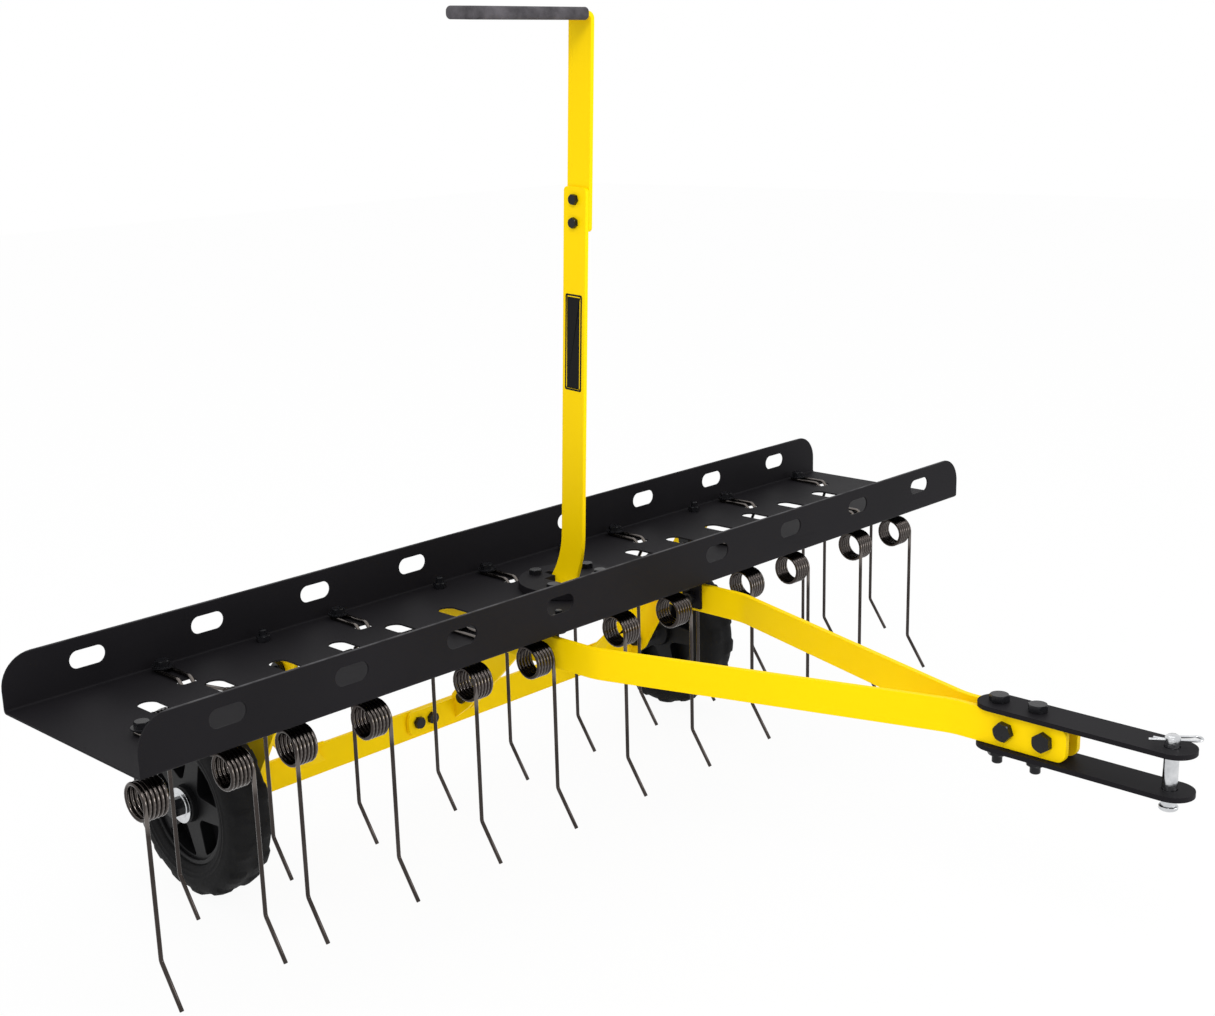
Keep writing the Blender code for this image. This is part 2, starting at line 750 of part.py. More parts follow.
def make_lever_bracket():
    """An angle bolted to the cross bar, its upright tab beside the lever's foot."""
    outer = -LEVER_THICK / 2 - GAP
    face = CROSS_Y - GAP
    low, high = lever_foot_bolt_places()
    drop = low[1]
    tab = arc(high, FOOT_HALF, LEVER_SLOPE, LEVER_SLOPE + 2 * QUARTER, 8)
    tab += arc(low, FOOT_HALF, LEVER_SLOPE + 2 * QUARTER, LEVER_SLOPE + 3 * QUARTER, 5)
    tab += [(face, drop + FOOT_TAB[0]), (face, drop + FOOT_TAB[1])]
    holes = [hole(spot, M8[0]) for spot in (low, high)]
    web = plate("tab", [tab] + holes, FOOT_THICK, "YZ", outer - FOOT_THICK / 2)
    base = rounded_box(FOOT_BOLTS[0] - FOOT_HALF, outer - BIG_BITE, drop + FOOT_FLANGE[0],
                       drop + FOOT_FLANGE[1], FOOT_FLANGE_CORNER, 3)
    bores = [hole((x, -FOOT_BOLT_DROP), M8[0]) for x in FOOT_BOLTS]
    flange = plate("flange", [base] + bores, FOOT_THICK, "XZ", -(face - FOOT_THICK / 2))
    add("lever_bracket", to_pivot(fuse(web, [flange])), YELLOW, lift)

    inner = outer - FOOT_THICK - GAP
    front = face - FOOT_THICK - GAP
    behind = CROSS_Y + BAR_THICK + GAP
    for number, x in enumerate(FOOT_BOLTS, 1):
        spot = (x, *pivot_local(front, -FOOT_BOLT_DROP))
        add("bracket_bolt_%d" % number, bolt(M8, behind - front, spot, "Y", -1), BLACK_BOLT,
            lift, smooth=False)
    for number, place in enumerate((low, high), 1):
        spot = (inner, *pivot_local(*place))
        add("lever_foot_bolt_%d" % number,
            bolt(M8, LEVER_THICK / 2 + GAP - inner, spot, "X", -1), BLACK_BOLT, lift,
            smooth=False)


def swing_arm(side):
    """A flat arm from the pivot down to the axle, round at both ends, flat at the cross bar."""
    half = ARM_WIDTH / 2
    axle = (AXLE_Y, -AXLE_DROP)
    pivot = (PIVOT_Y, -PIVOT_DROP)
    slope = math.atan2(axle[1] - pivot[1], axle[0] - pivot[0])
    cross_back = CROSS_Y + BAR_THICK
    outline = arc(pivot, half, slope + QUARTER, slope + 3 * QUARTER, 8)
    outline += arc(axle, half, slope - QUARTER, -QUARTER * 0.9, 3)
    outline += [(CROSS_Y, CROSS_TOP - BAR_HEIGHT), (cross_back, CROSS_TOP - BAR_HEIGHT),
                (cross_back, CROSS_TOP)]
    holes = [hole(pivot, M10[0], 8), hole(axle, M12[0], 8)]
    return plate("arm", [outline] + holes, BAR_THICK, "YZ", side * ARM_X)


def brace(side):
    """A flat strut from the cross bar up to the inside of a swing arm."""
    corners = [(ARM_X - inward, -BRACE_FOOT_DROP) for inward in BRACE_FOOT]
    corners += [(ARM_X - BRACE_THICK / 2 + GAP, -drop) for drop in BRACE_HEAD_DROPS]
    rise = -BRACE_HEAD_DROPS[1] - CROSS_TOP
    work = bmesh.new()
    for x, z in corners:
        y = CROSS_Y + BIG_BITE - max(0.0, z - CROSS_TOP) / rise * BRACE_LEAN
        for depth in (0, BRACE_THICK):
            work.verts.new((side * x, y + depth, z))
    bmesh.ops.convex_hull(work, input=work.verts)
    mesh = bpy.data.meshes.new("brace")
    work.to_mesh(mesh)
    work.free()
    return mesh


def make_lift_frame():
    """A flat cross bar with a swing arm welded to each end, and a brace in each corner."""
    reach = ARM_X + BAR_THICK / 2 - BIG_BITE
    bar = rectangle(-reach, reach, CROSS_TOP - BAR_HEIGHT, CROSS_TOP)
    bores = [hole((x, -FOOT_BOLT_DROP), M8[0]) for x in FOOT_BOLTS]
    whole = plate("cross", [bar] + bores, CROSS_THICK, "XZ", -(CROSS_Y + BAR_THICK / 2))
    whole = fuse(whole, [swing_arm(side) for side in (-1, 1)])
    for side in (-1, 1):
        whole = fuse(whole, [brace(side)])
    add("lift_frame", to_pivot(whole), YELLOW, lift)


def make_pivot_brackets():
    """An angle under the tray outside each swing arm, with the bolt that the arm swings on."""
    web_x = ARM_X + BAR_THICK / 2 + GAP
    top = -GAP
    inner = ARM_X - BAR_THICK / 2 - GAP
    outer = web_x + CLIP_THICK + GAP
    pivot = (PIVOT_Y, -PIVOT_DROP)
    front = PIVOT_Y - PIVOT_FRONT
    back = PIVOT_Y + PIVOT_BACK
    for side, name in ((-1, "left"), (1, "right")):
        outline = [(front, top), (front, top - CLIP_THICK)]
        outline += arc(pivot, PIVOT_LOBE, 2 * QUARTER, 4 * QUARTER, 6)
        outline += [(back, top - CLIP_THICK), (back, top)]
        web = plate("web", [outline, hole(pivot, M10[0], 8)], CLIP_THICK, "YZ",
                    side * (web_x + CLIP_THICK / 2))
        left, right = sorted((side * (web_x + BIG_BITE), side * (web_x + PIVOT_FLANGE)))
        flat = rectangle(left, right, front + BIG_BITE, back - BIG_BITE)
        tapped = hole((side * (ARM_X + PIVOT_BOLT_OUT), PIVOT_Y + PIVOT_BOLT_BACK), M8[0])
        flange = plate("flange", [flat, tapped], CLIP_THICK - BITE * 2, "XY",
                       top - CLIP_THICK / 2)
        add("pivot_bracket_" + name, fuse(web, [flange]), YELLOW, root)
        add("pivot_bolt_" + name, bolt(M10, outer - inner, (side * inner, *pivot), "X", -side),
            BLACK_BOLT, root, smooth=False)


def arm_outline(side):
    """The arm seen from above: out under the tray, bent in, then straight to the hitch."""
    half = ARM_THICK / 2
    slant = math.atan2(ARM_OUT - ARM_IN, ARM_BEND_OUT - ARM_BEND_IN)
    push = half * math.tan(slant / 2)
    outer = [(ARM_OUT + half, ARM_BACK), (ARM_OUT + half, ARM_BEND_OUT - push),
             (ARM_IN + half, ARM_BEND_IN - push), (ARM_IN + half, ARM_FRONT)]
    inner = [(ARM_IN - half, ARM_FRONT), (ARM_IN - half, ARM_BEND_IN + push),
             (ARM_OUT - half, ARM_BEND_OUT + push), (ARM_OUT - half, ARM_BACK)]
    return [(side * x, y) for x, y in outer + inner]


def round_end(mesh, y_end, radius):
    """Rounds the two corners of an arm's end, seen from the side."""
    work = bmesh.new()
    work.from_mesh(mesh)
    ends = [edge for edge in work.edges
            if all(abs(v.co.y - y_end) < MERGE for v in edge.verts)
            and abs(edge.verts[0].co.z - edge.verts[1].co.z) < MERGE]
    bmesh.ops.bevel(work, geom=ends, offset=radius, segments=4, affect="EDGES", profile=0.5)
    work.to_mesh(mesh)
    work.free()
    return mesh


def make_draw_arm(side, name):
    """One arm with its side bolts, and the two angles that hang it from the tray."""
    middle = ARM_TOP - ARM_HEIGHT / 2
    head = ARM_OUT + ARM_THICK / 2 - BITE
    near = ARM_OUT - ARM_THICK / 2 - GAP
    grip = head - near + CLIP_THICK + GAP
    arm = round_end(plate("arm", [arm_outline(side)], ARM_HEIGHT, "XY", middle), ARM_FRONT,
                    ARM_NOSE)
    arm = cut(arm, [drill(M8[0], ARM_THICK * 2, (side * ARM_IN, y, middle), "X")
                    for y in SIDE_BOLTS])
    bolts = [bolt(M8, grip, (side * head, y, middle), "X", side, 0) for y in CLIP_Y]
    add("draw_arm_" + name, fuse(arm, bolts), YELLOW, root)
    top = -GAP
    low = middle - CLIP_FOOT
    under = top - CLIP_THICK
    profile = [(near, top), (near, low), (near - CLIP_THICK, low), (near - CLIP_THICK, under),
               (near - CLIP_LEG, under), (near - CLIP_LEG, top)]
    outline = [(side * x, z) for x, z in profile]
    for y, place in zip(CLIP_Y, ("front", "rear")):
        drills = [drill(M8[0], CLIP_THICK * 4, (side * near, y, middle), "X"),
                  drill(M8[0], CLIP_THICK * 4, (side * CLIP_BOLT_X, y, top), "Z")]
        angle = cut(plate("angle", [outline], CLIP_WIDTH, "XZ", -y), drills)
        add("arm_angle_%s_%s" % (name, place), angle, BLACK, root, smooth=False)


def hitch_outline():
    half = HITCH_WIDTH / 2
    points = arc((0, HITCH_BACK - half), half, 0, 2 * QUARTER, 8)
    return points + arc((0, HITCH_TIP + half), half, 2 * QUARTER, 4 * QUARTER, 8)


def hitch_levels():
    """The undersides of the top plate and the top face of the bottom one."""
    return ARM_TOP + GAP, ARM_TOP - ARM_HEIGHT - GAP


def make_hitch():
    """Two plates over and under the arms' noses, and the four bolts that hold them."""
    holes = [hole((0, y), M10[0]) for y in HITCH_BOLTS]
    holes.append(circle((0, PIN_Y), PIN_RADIUS + PIN_PLAY, PIN_SIDES))
    upper, lower = hitch_levels()
    levels = {"hitch_plate_top": upper + HITCH_THICK / 2,
              "hitch_plate_bottom": lower - HITCH_THICK / 2}
    for name, level in levels.items():
        add(name, plate(name, [hitch_outline()] + holes, HITCH_THICK, "XY", level), BLACK, root)
    head = upper + HITCH_THICK + GAP
    foot = lower - HITCH_THICK - GAP
    outer = ARM_IN + ARM_THICK / 2 + GAP
    middle = ARM_TOP - ARM_HEIGHT / 2
    side_size = (M8[0], M10[1], M10[2])
    for number, (upright, across) in enumerate(zip(HITCH_BOLTS, SIDE_BOLTS), 1):
        add("hitch_bolt_%d" % number, bolt(M10, head - foot, (0, upright, head)), BLACK_BOLT,
            root, smooth=False)
        add("side_bolt_%d" % number, bolt(side_size, outer * 2, (-outer, across, middle), "X", -1),
            BLACK_BOLT, root, smooth=False)


def make_hitch_pin():
    """The pin stands on the unit's centre line, headed below, with a spring clip above."""
    upper, lower = hitch_levels()
    radius, height = PIN_HEAD
    foot = lower - HITCH_THICK - PIN_BELOW
    top = upper + HITCH_THICK
    crown = top + PIN_ABOVE
    profile = [(foot, 0), (foot, radius - PIN_EDGE), (foot + PIN_EDGE, radius),
               (foot + height, radius), (foot + height + PIN_EDGE, PIN_RADIUS),
               (crown - PIN_CHAMFER, PIN_RADIUS), (crown, PIN_RADIUS - PIN_CHAMFER), (crown, 0)]
    pin = turned("pin", profile, PIN_SIDES)
    pin.transform(Matrix.Rotation(-QUARTER, 4, "Y"))
    place = Matrix.Translation((0, 0, top + CLIP_HEIGHT)) @ Matrix.Rotation(CLIP_TURN, 4, "Z")
    bore = cylinder(CLIP_WIRE / 2 + BOLT_PLAY, PIN_RADIUS * 4, (0, 0, 0), "X", 6)
    bore.transform(place)
    axis = empty("pin_axis", root, (0, PIN_Y, 0))
    add("hitch_pin", cut(pin, [bore]), ZINC, axis)

    near, far = CLIP_STRAIGHT
    hug = PIN_RADIUS + CLIP_WIRE / 2 + GAP
    route = [(near, 0), (far, 0)]
    route += arc((far, CLIP_BOW), CLIP_BOW, -QUARTER / 2, QUARTER, 3)
    route += arc((0, 0), hug, *CLIP_HUG, 3)
    route += CLIP_TAIL
    clip = wire("clip", [(u, v, 0) for u, v in route], CLIP_WIRE)
    clip.transform(place)
    add("hitch_clip", clip, ZINC, axis)


def tyre_profile():
    half = TYRE_WIDTH / 2
    tread = WHEEL_RADIUS - LUG_DEPTH
    seat = RIM_RADIUS + GAP
    right = [(CROWN_HALF, tread), (half - SHOULDER_IN, tread - CROWN_DROP),
             (half, tread - SHOULDER_DROP), (half, seat + SEAT_RISE), (half - SEAT_IN, seat)]
    return [(-x, reach) for x, reach in reversed(right)] + right


def tread_faces(work):
    """The faces of the turned tyre that become blocks: every other one, staggered by side."""
    for face in work.faces:
        centre = face.calc_center_median()
        reach = math.hypot(centre.y, centre.z)
        across = abs(centre.x)
        if CROWN_HALF < across < TYRE_WIDTH / 2 - SHOULDER_IN and reach > WHEEL_RADIUS * 0.92:
            turn = math.atan2(centre.z, centre.y) / math.pi * LUGS
            if math.floor(turn) % 2 == (centre.x < 0):
                yield face


def make_tyre():
    """A turned tyre whose tread blocks are drawn out of alternate stretches."""
    mesh = turned("tyre", tyre_profile(), LUGS * 2)
    work = bmesh.new()
    work.from_mesh(mesh)
    for face in list(tread_faces(work)):
        raised = bmesh.ops.extrude_face_region(work, geom=[face])
        for vert in [item for item in raised["geom"] if isinstance(item, bmesh.types.BMVert)]:
            reach = math.hypot(vert.co.y, vert.co.z)
            vert.co.y *= WHEEL_RADIUS / reach
            vert.co.z *= WHEEL_RADIUS / reach
        bmesh.ops.delete(work, geom=[face], context="FACES_ONLY")
    bmesh.ops.recalc_face_normals(work, faces=work.faces)
    work.to_mesh(mesh)
    work.free()
    return mesh


def rim_window(middle):
    """The outline of one window of the rim, a wedge that narrows towards the hub."""
    spread = math.pi / SPOKES * WINDOW_SHARE
    reach = RIM_RADIUS - RIM_WALL - WINDOW_EDGE
    points = arc((0, 0), reach, middle - spread, middle + spread, 4)
    return points + arc((0, 0), HUB_RADIUS + HUB_FLARE, middle + WINDOW_TIP,
                        middle - WINDOW_TIP, 1)


def make_rim():
    """A moulded rim: barrel, hub and a web with a window between each two spokes."""
    half = RIM_WIDTH / 2
    inside = RIM_RADIUS - RIM_WALL
    barrel = turned("barrel", [(-half, inside), (-half, RIM_RADIUS), (half, RIM_RADIUS),
                               (half, inside)], LUGS * 2)
    bore = M12[0] + BOLT_PLAY
    hub = turned("hub", [(-HUB_WIDTH / 2, bore), (-HUB_WIDTH / 2, HUB_RADIUS),
                         (HUB_WIDTH / 2, HUB_RADIUS), (HUB_WIDTH / 2, bore)], LUGS)
    outer = circle((0, 0), RIM_RADIUS - RIM_WALL / 2, LUGS * 2)
    inner = circle((0, 0), HUB_RADIUS - WINDOW_EDGE, LUGS)
    windows = [rim_window(2 * math.pi * k / SPOKES) for k in range(SPOKES)]
    web = plate("web", [outer, inner] + windows, WEB_THICK, "YZ")
    return fuse(fuse(web, [barrel]), [hub])


def make_wheels():
    """Both wheels, each with its axle bolt, outer washer and inner spacer."""
    tyre = make_tyre()
    rim = make_rim()
    place = pivot_local(AXLE_Y, -AXLE_DROP)
    outside = WHEEL_X + HUB_WIDTH / 2 + GAP
    inside = WHEEL_X - HUB_WIDTH / 2 - GAP
    arm_out = ARM_X + BAR_THICK / 2 + GAP
    arm_in = ARM_X - BAR_THICK / 2 - GAP
    radius, thickness = AXLE_WASHER
    head = outside + thickness + GAP
    for side, name in ((-1, "left"), (1, "right")):
        axis = empty("wheel_axis_" + name, lift, (side * WHEEL_X, *place))
        add("tyre_" + name, tyre, TYRE_RUBBER, axis)
        add("rim_" + name, rim, RIM_PLASTIC, axis)
        add("axle_washer_" + name, ring("washer", radius, M12[0], thickness,
                                        (side * outside, *place), "X", side, 24), ZINC, lift)
        add("axle_spacer_" + name, ring("spacer", SPACER_RADIUS, M12[0], inside - arm_out,
                                        (side * arm_out, *place), "X", side, 12), ZINC, lift)
        add("axle_bolt_" + name, bolt(M12, head - arm_in, (side * head, *place), "X", side),
            BLACK_BOLT, lift, smooth=False)


root = empty("unit", location=(0, TRAY_Y, FLOOR_Z))
lift = empty("lift_axis", root, (0, PIVOT_Y, -PIVOT_DROP))
lever_line = empty("lever_line", lift, (0, *pivot_local(*LEVER_KNEE)), LEVER_LEAN)

make_tray()
make_tines()
make_slot_plate()
make_lever_lower()
make_lever_upper()
make_grip()
make_lever_bracket()
make_lift_frame()
make_pivot_brackets()
make_draw_arm(-1, "left")
make_draw_arm(1, "right")
make_hitch()
make_hitch_pin()
make_wheels()

bpy.context.view_layer.update()
nodes = [made for made in unit.objects if made.type == "MESH"]
total = 0
for made in nodes:
    made.data.calc_loop_triangles()
    total += len(made.data.loop_triangles)
print("nodes:", len(nodes), "triangles:", total)
for made in unit.objects:
    if made.type == "EMPTY":
        print(made.name, [round(value, 5) for value in made.matrix_world.translation])
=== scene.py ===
import json
import math

import bmesh
import bpy
from mathutils import Matrix, Vector


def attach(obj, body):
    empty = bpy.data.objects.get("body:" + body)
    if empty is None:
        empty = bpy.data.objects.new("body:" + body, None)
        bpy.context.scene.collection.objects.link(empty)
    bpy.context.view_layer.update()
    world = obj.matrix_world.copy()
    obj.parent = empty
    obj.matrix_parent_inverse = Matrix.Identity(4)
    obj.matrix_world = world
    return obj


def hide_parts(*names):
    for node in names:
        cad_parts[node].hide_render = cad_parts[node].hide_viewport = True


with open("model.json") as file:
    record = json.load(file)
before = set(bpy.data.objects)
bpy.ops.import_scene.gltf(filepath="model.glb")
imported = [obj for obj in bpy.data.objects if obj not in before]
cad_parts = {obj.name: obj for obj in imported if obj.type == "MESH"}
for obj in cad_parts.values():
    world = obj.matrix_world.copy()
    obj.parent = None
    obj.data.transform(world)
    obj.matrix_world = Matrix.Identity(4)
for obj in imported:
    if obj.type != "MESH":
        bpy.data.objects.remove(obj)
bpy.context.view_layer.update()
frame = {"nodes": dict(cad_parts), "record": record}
quarter = math.pi / 2
gap = 0.0003  # left between pieces that touch
merge = 0.00001  # corners closer than this are one
near = 0.001  # corners this close to a level belong to it
straight = 0.999  # a direction this close to an axis runs along it
bevelFrom = math.radians(40)  # edges sharper than this are softened
noiseSpan = (0.3, 0.7)  # where most of a noise's values lie
sides = (("left", -1), ("right", 1))
xAxis, yAxis, zAxis = Vector((1, 0, 0)), Vector((0, 1, 0)), Vector((0, 0, 1))
rigs = {"tray": "tray_unit", "lift": "lift", "left": "wheel_left", "right": "wheel_right", "pin": "pin"}

# every size below is measured from the tray's middle, at the underside of its floor
joints = {joint["name"]: Vector(joint["pos_m"]) for joint in frame["record"]["behaviour"]["joints"]}
pinY = -0.706
trayPlace = Vector((0.0, joints["pin_turn"].y - pinY, joints["pin_turn"].z))
trayFrame = Matrix.Translation(trayPlace)
flipped = {side: trayFrame @ Matrix.Diagonal((side, 1, 1, 1)) for name, side in sides}
frontPlane = Matrix.Rotation(quarter, 4, "X")  # drawn x and y become x and z
sidePlane = Matrix(((0, 0, 1, 0), (1, 0, 0, 0), (0, 1, 0, 0), (0, 0, 0, 1)))  # drawn x and y become y and z
pivot = tuple((joints["lift_hinge"] - trayPlace).yz)
axle = tuple((joints["wheel_left_spin"] - trayPlace).yz)
print("frame loaded:", len(frame["nodes"]), "nodes")


def at(*spot):
    return trayFrame @ Matrix.Translation(spot)


# node helpers and the shared effects

def feed(tree, socket, value):  # a link from another socket, or a plain value
    if isinstance(value, bpy.types.NodeSocket):
        tree.links.new(value, socket)
    else:
        socket.default_value = value


def addNode(tree, kind, inputs, group=None):
    node = tree.nodes.new("ShaderNode" + kind)
    if group:
        node.node_tree = group
    for label, value in inputs.items():
        feed(tree, node.inputs[label], value)
    return node.outputs


def noiseNode(tree, vector, scale, detail=3.0, rough=0.55):
    return addNode(tree, "TexNoise", {"Vector": vector, "Scale": scale, "Detail": detail,
                                      "Roughness": rough})["Fac"]


def remap(tree, value, low, high, toLow=0.0, toHigh=1.0):
    return addNode(tree, "MapRange", {"Value": value, "From Min": low, "From Max": high,
                                      "To Min": toLow, "To Max": toHigh})["Result"]


def mixColour(tree, factor, first, second):
    node = tree.nodes.new("ShaderNodeMix")
    node.data_type = "RGBA"
    sockets = [s for s in node.inputs if s.enabled]
    for socket, value in zip(sockets, (factor, first, second)):
        feed(tree, socket, value if isinstance(value, bpy.types.NodeSocket) else (*value, 1))
    return [s for s in node.outputs if s.enabled][0]


def mathNode(tree, operation, *values):
    node = tree.nodes.new("ShaderNodeMath")
    node.operation = operation
    for socket, value in zip(node.inputs, values):
        feed(tree, socket, value)
    return node.outputs["Value"]


def newGroup(name, inputs, outputs):
    group = bpy.data.node_groups.new(name, "ShaderNodeTree")
    addSocket = group.interface.new_socket
    addSocket(name="Vector", in_out="INPUT", socket_type="NodeSocketVector")
    for way, labels in (("INPUT", inputs), ("OUTPUT", outputs)):
        for label in labels:
            addSocket(name=label, in_out=way, socket_type="NodeSocketFloat")
    return group, group.nodes.new("NodeGroupInput").outputs, group.nodes.new("NodeGroupOutput").inputs


def buildCoatGrain():  # the orange peel of a baked coat, with slow clouds for its shade
    look = {"speckScale": 2600.0, "speckFrom": (0.62, 0.74)}
    group, given, result = newGroup("coatGrain", ("Peel", "Cloud"), ("Height", "Shade", "Speck"))
    cloud = noiseNode(group, given["Vector"], given["Cloud"], 4.0)
    fine = noiseNode(group, given["Vector"], look["speckScale"], 1.0)
    feed(group, result["Height"], noiseNode(group, given["Vector"], given["Peel"], 2.0))
    feed(group, result["Shade"], remap(group, cloud, *noiseSpan))
    feed(group, result["Speck"], remap(group, fine, *look["speckFrom"]))
    return group


def buildScuffs():  # fine handling marks in two directions, thinned by a cloud
    look = {"stretch": (1.0, 14.0, 6.0), "turn": (0.3, 0.5, 0.8), "lineFrom": (0.60, 0.70),
            "patchScale": 14.0, "patchFrom": (0.45, 0.65)}
    group, given, result = newGroup("scuffs", ("Length",), ("Mark",))
    stretched = addNode(group, "Mapping", {"Vector": given["Vector"], "Rotation": look["turn"],
                                           "Scale": look["stretch"]})["Vector"]
    lines = remap(group, noiseNode(group, stretched, given["Length"], 6.0, 0.7), *look["lineFrom"])
    patches = remap(group, noiseNode(group, given["Vector"], look["patchScale"], 2.0), *look["patchFrom"])
    feed(group, result["Mark"], mathNode(group, "MULTIPLY", lines, patches))
    return group


coatGrain = buildCoatGrain()
scuffs = buildScuffs()


def placeGrain(tree, where, look):
    return addNode(tree, "Group", {"Vector": where, "Peel": look["peel"], "Cloud": look["cloud"]}, coatGrain)


def placeScuffs(tree, where, look, strength):
    mark = addNode(tree, "Group", {"Vector": where, "Length": look["marks"]}, scuffs)["Mark"]
    return mathNode(tree, "MULTIPLY", mark, look[strength])


def startMaterial(name, look):
    made = bpy.data.materials.new(name)
    made.use_nodes = True
    tree = made.node_tree
    sockets = tree.nodes["Principled BSDF"].inputs
    sockets["Roughness"].default_value = look["rough"][0]
    sockets["Metallic"].default_value = look.get("metal", 0.0)
    sockets["Specular IOR Level"].default_value = look.get("specular", 0.5)
    return made, tree, sockets, addNode(tree, "TexCoord", {})["Object"]


def endMaterial(tree, sockets, look, colour, rough, height):
    feed(tree, sockets["Base Color"], colour)
    feed(tree, sockets["Roughness"], rough)
    bump = addNode(tree, "Bump", {"Distance": look["depth"], "Height": height})
    feed(tree, sockets["Normal"], bump["Normal"])


def coatedMaterial(name, look):  # powder coat on steel
    made, tree, sockets, where = startMaterial(name, look)
    grain = placeGrain(tree, where, look)
    colour = mixColour(tree, grain["Shade"], look["dark"], look["light"])
    speck = mathNode(tree, "MULTIPLY", grain["Speck"], look["speck"])
    rough = remap(tree, grain["Shade"], 0.0, 1.0, *look["rough"])
    endMaterial(tree, sockets, look, mixColour(tree, speck, colour, look["speckColour"]),
                mathNode(tree, "ADD", rough, placeScuffs(tree, where, look, "scuff")), grain["Height"])
    return made


def wireMaterial(name, look):  # bare or plated metal
    made, tree, sockets, where = startMaterial(name, look)
    grain = placeGrain(tree, where, look)
    endMaterial(tree, sockets, look, mixColour(tree, grain["Shade"], look["dark"], look["light"]),
                remap(tree, grain["Height"], *noiseSpan, *look["rough"]), grain["Height"])
    return made


def softMaterial(name, look):  # rubber, foam and moulded plastic
    made, tree, sockets, where = startMaterial(name, look)
    coarse = noiseNode(tree, where, look["grain"], 4.0, 0.65)
    cloud = remap(tree, noiseNode(tree, where, look["cloud"]), *noiseSpan)
    colour = mixColour(tree, cloud, look["dark"], look["light"])
    dust = placeScuffs(tree, where, look, "dust")
    endMaterial(tree, sockets, look, mixColour(tree, dust, colour, look["dustColour"]),
                remap(tree, coarse, *noiseSpan, *look["rough"]), coarse)
    return made


yellowCoat = coatedMaterial("yellowCoat", {
    "dark": (0.97, 0.655, 0.0), "light": (1.0, 0.690, 0.0), "speck": 0.06, "speckColour": (1.0, 0.76, 0.01),
    "rough": (0.40, 0.46), "scuff": 0.10, "specular": 0.06, "peel": 620.0, "cloud": 7.0, "marks": 10.0,
    "depth": 0.00003})
blackCoat = coatedMaterial("blackCoat", {
    "dark": (0.0080, 0.0074, 0.0088), "light": (0.0115, 0.0106, 0.0126), "speck": 0.10,
    "speckColour": (0.03, 0.03, 0.032), "rough": (0.54, 0.62), "scuff": 0.07, "specular": 0.08,
    "peel": 700.0, "cloud": 6.0, "marks": 9.0, "depth": 0.00005})
blackBolt = coatedMaterial("blackBolt", {
    "dark": (0.006, 0.006, 0.007), "light": (0.010, 0.010, 0.012), "speck": 0.15,
    "speckColour": (0.05, 0.05, 0.055), "rough": (0.22, 0.32), "scuff": 0.08, "specular": 0.22,
    "peel": 480.0, "cloud": 60.0, "marks": 40.0, "depth": 0.00008})
springWire = wireMaterial("springWire", {
    "dark": (0.036, 0.030, 0.028), "light": (0.062, 0.053, 0.049), "metal": 1.0, "rough": (0.15, 0.23),
    "peel": 420.0, "cloud": 30.0, "depth": 0.00001})
zincPlate = wireMaterial("zincPlate", {
    "dark": (0.50, 0.51, 0.53), "light": (0.72, 0.73, 0.74), "metal": 1.0, "rough": (0.10, 0.24),
    "peel": 520.0, "cloud": 90.0, "depth": 0.00006})
gripFoam = softMaterial("gripFoam", {
    "dark": (0.042, 0.039, 0.044), "light": (0.105, 0.098, 0.108), "grain": 260.0, "cloud": 55.0,
    "marks": 30.0, "dust": 0.25, "dustColour": (0.12, 0.11, 0.12), "rough": (0.72, 0.92), "specular": 0.22,
    "depth": 0.0008})
tyreRubber = softMaterial("tyreRubber", {
    "dark": (0.0075, 0.0075, 0.0080), "light": (0.0125, 0.0125, 0.0130), "grain": 420.0, "cloud": 30.0,
    "marks": 26.0, "dust": 0.30, "dustColour": (0.028, 0.026, 0.027), "rough": (0.60, 0.76),
    "specular": 0.08, "depth": 0.0003})
rimPlastic = softMaterial("rimPlastic", {
    "dark": (0.0050, 0.0050, 0.0056), "light": (0.0078, 0.0079, 0.0086), "grain": 700.0, "cloud": 20.0,
    "marks": 20.0, "dust": 0.10, "dustColour": (0.03, 0.03, 0.03), "rough": (0.36, 0.46),
    "specular": 0.14, "depth": 0.00010})
labelFilm = coatedMaterial("labelFilm", {
    "dark": (0.004, 0.004, 0.0045), "light": (0.006, 0.006, 0.0065), "speck": 0.0,
    "speckColour": (0.02, 0.02, 0.02), "rough": (0.34, 0.40), "scuff": 0.1, "specular": 0.10,
    "peel": 300.0, "cloud": 12.0, "marks": 12.0, "depth": 0.00004})
looks = {"yellow_paint": yellowCoat, "black_paint": blackCoat, "spring_wire": springWire,
         "black_hardware": blackBolt, "zinc_plate": zincPlate, "grip_foam": gripFoam,
         "tyre_rubber": tyreRubber, "rim_plastic": rimPlastic}
slotNames = {made.name: slot for slot, made in looks.items()}
slotNames[labelFilm.name] = "black_paint"
print("finishes:", len(slotNames))

for part in frame["record"]["subparts"]:
    node = frame["nodes"][part["node"]]
    node.data.materials.clear()
    node.data.materials.append(looks[part["material_slot"]])


def reopen(made):  # what a finished material needs for one more layer of colour
    tree = made.node_tree
    base = tree.nodes["Principled BSDF"].inputs["Base Color"]
    return tree, base, base.links[0].from_socket, addNode(tree, "TexCoord", {})["Object"]


# modelling helpers

def vertsOf(geom):
    return [item for item in geom if isinstance(item, bmesh.types.BMVert)]


def edgesOf(geom):
    return [item for item in geom if isinstance(item, bmesh.types.BMEdge)]


def toMesh(bm, name):
    mesh = bpy.data.meshes.new(name)
    bm.to_mesh(mesh)
    bm.free()
    return mesh


def putIn(name, data):
    made = bpy.data.objects.new(name, data)
    bpy.context.scene.collection.objects.link(made)
    return made


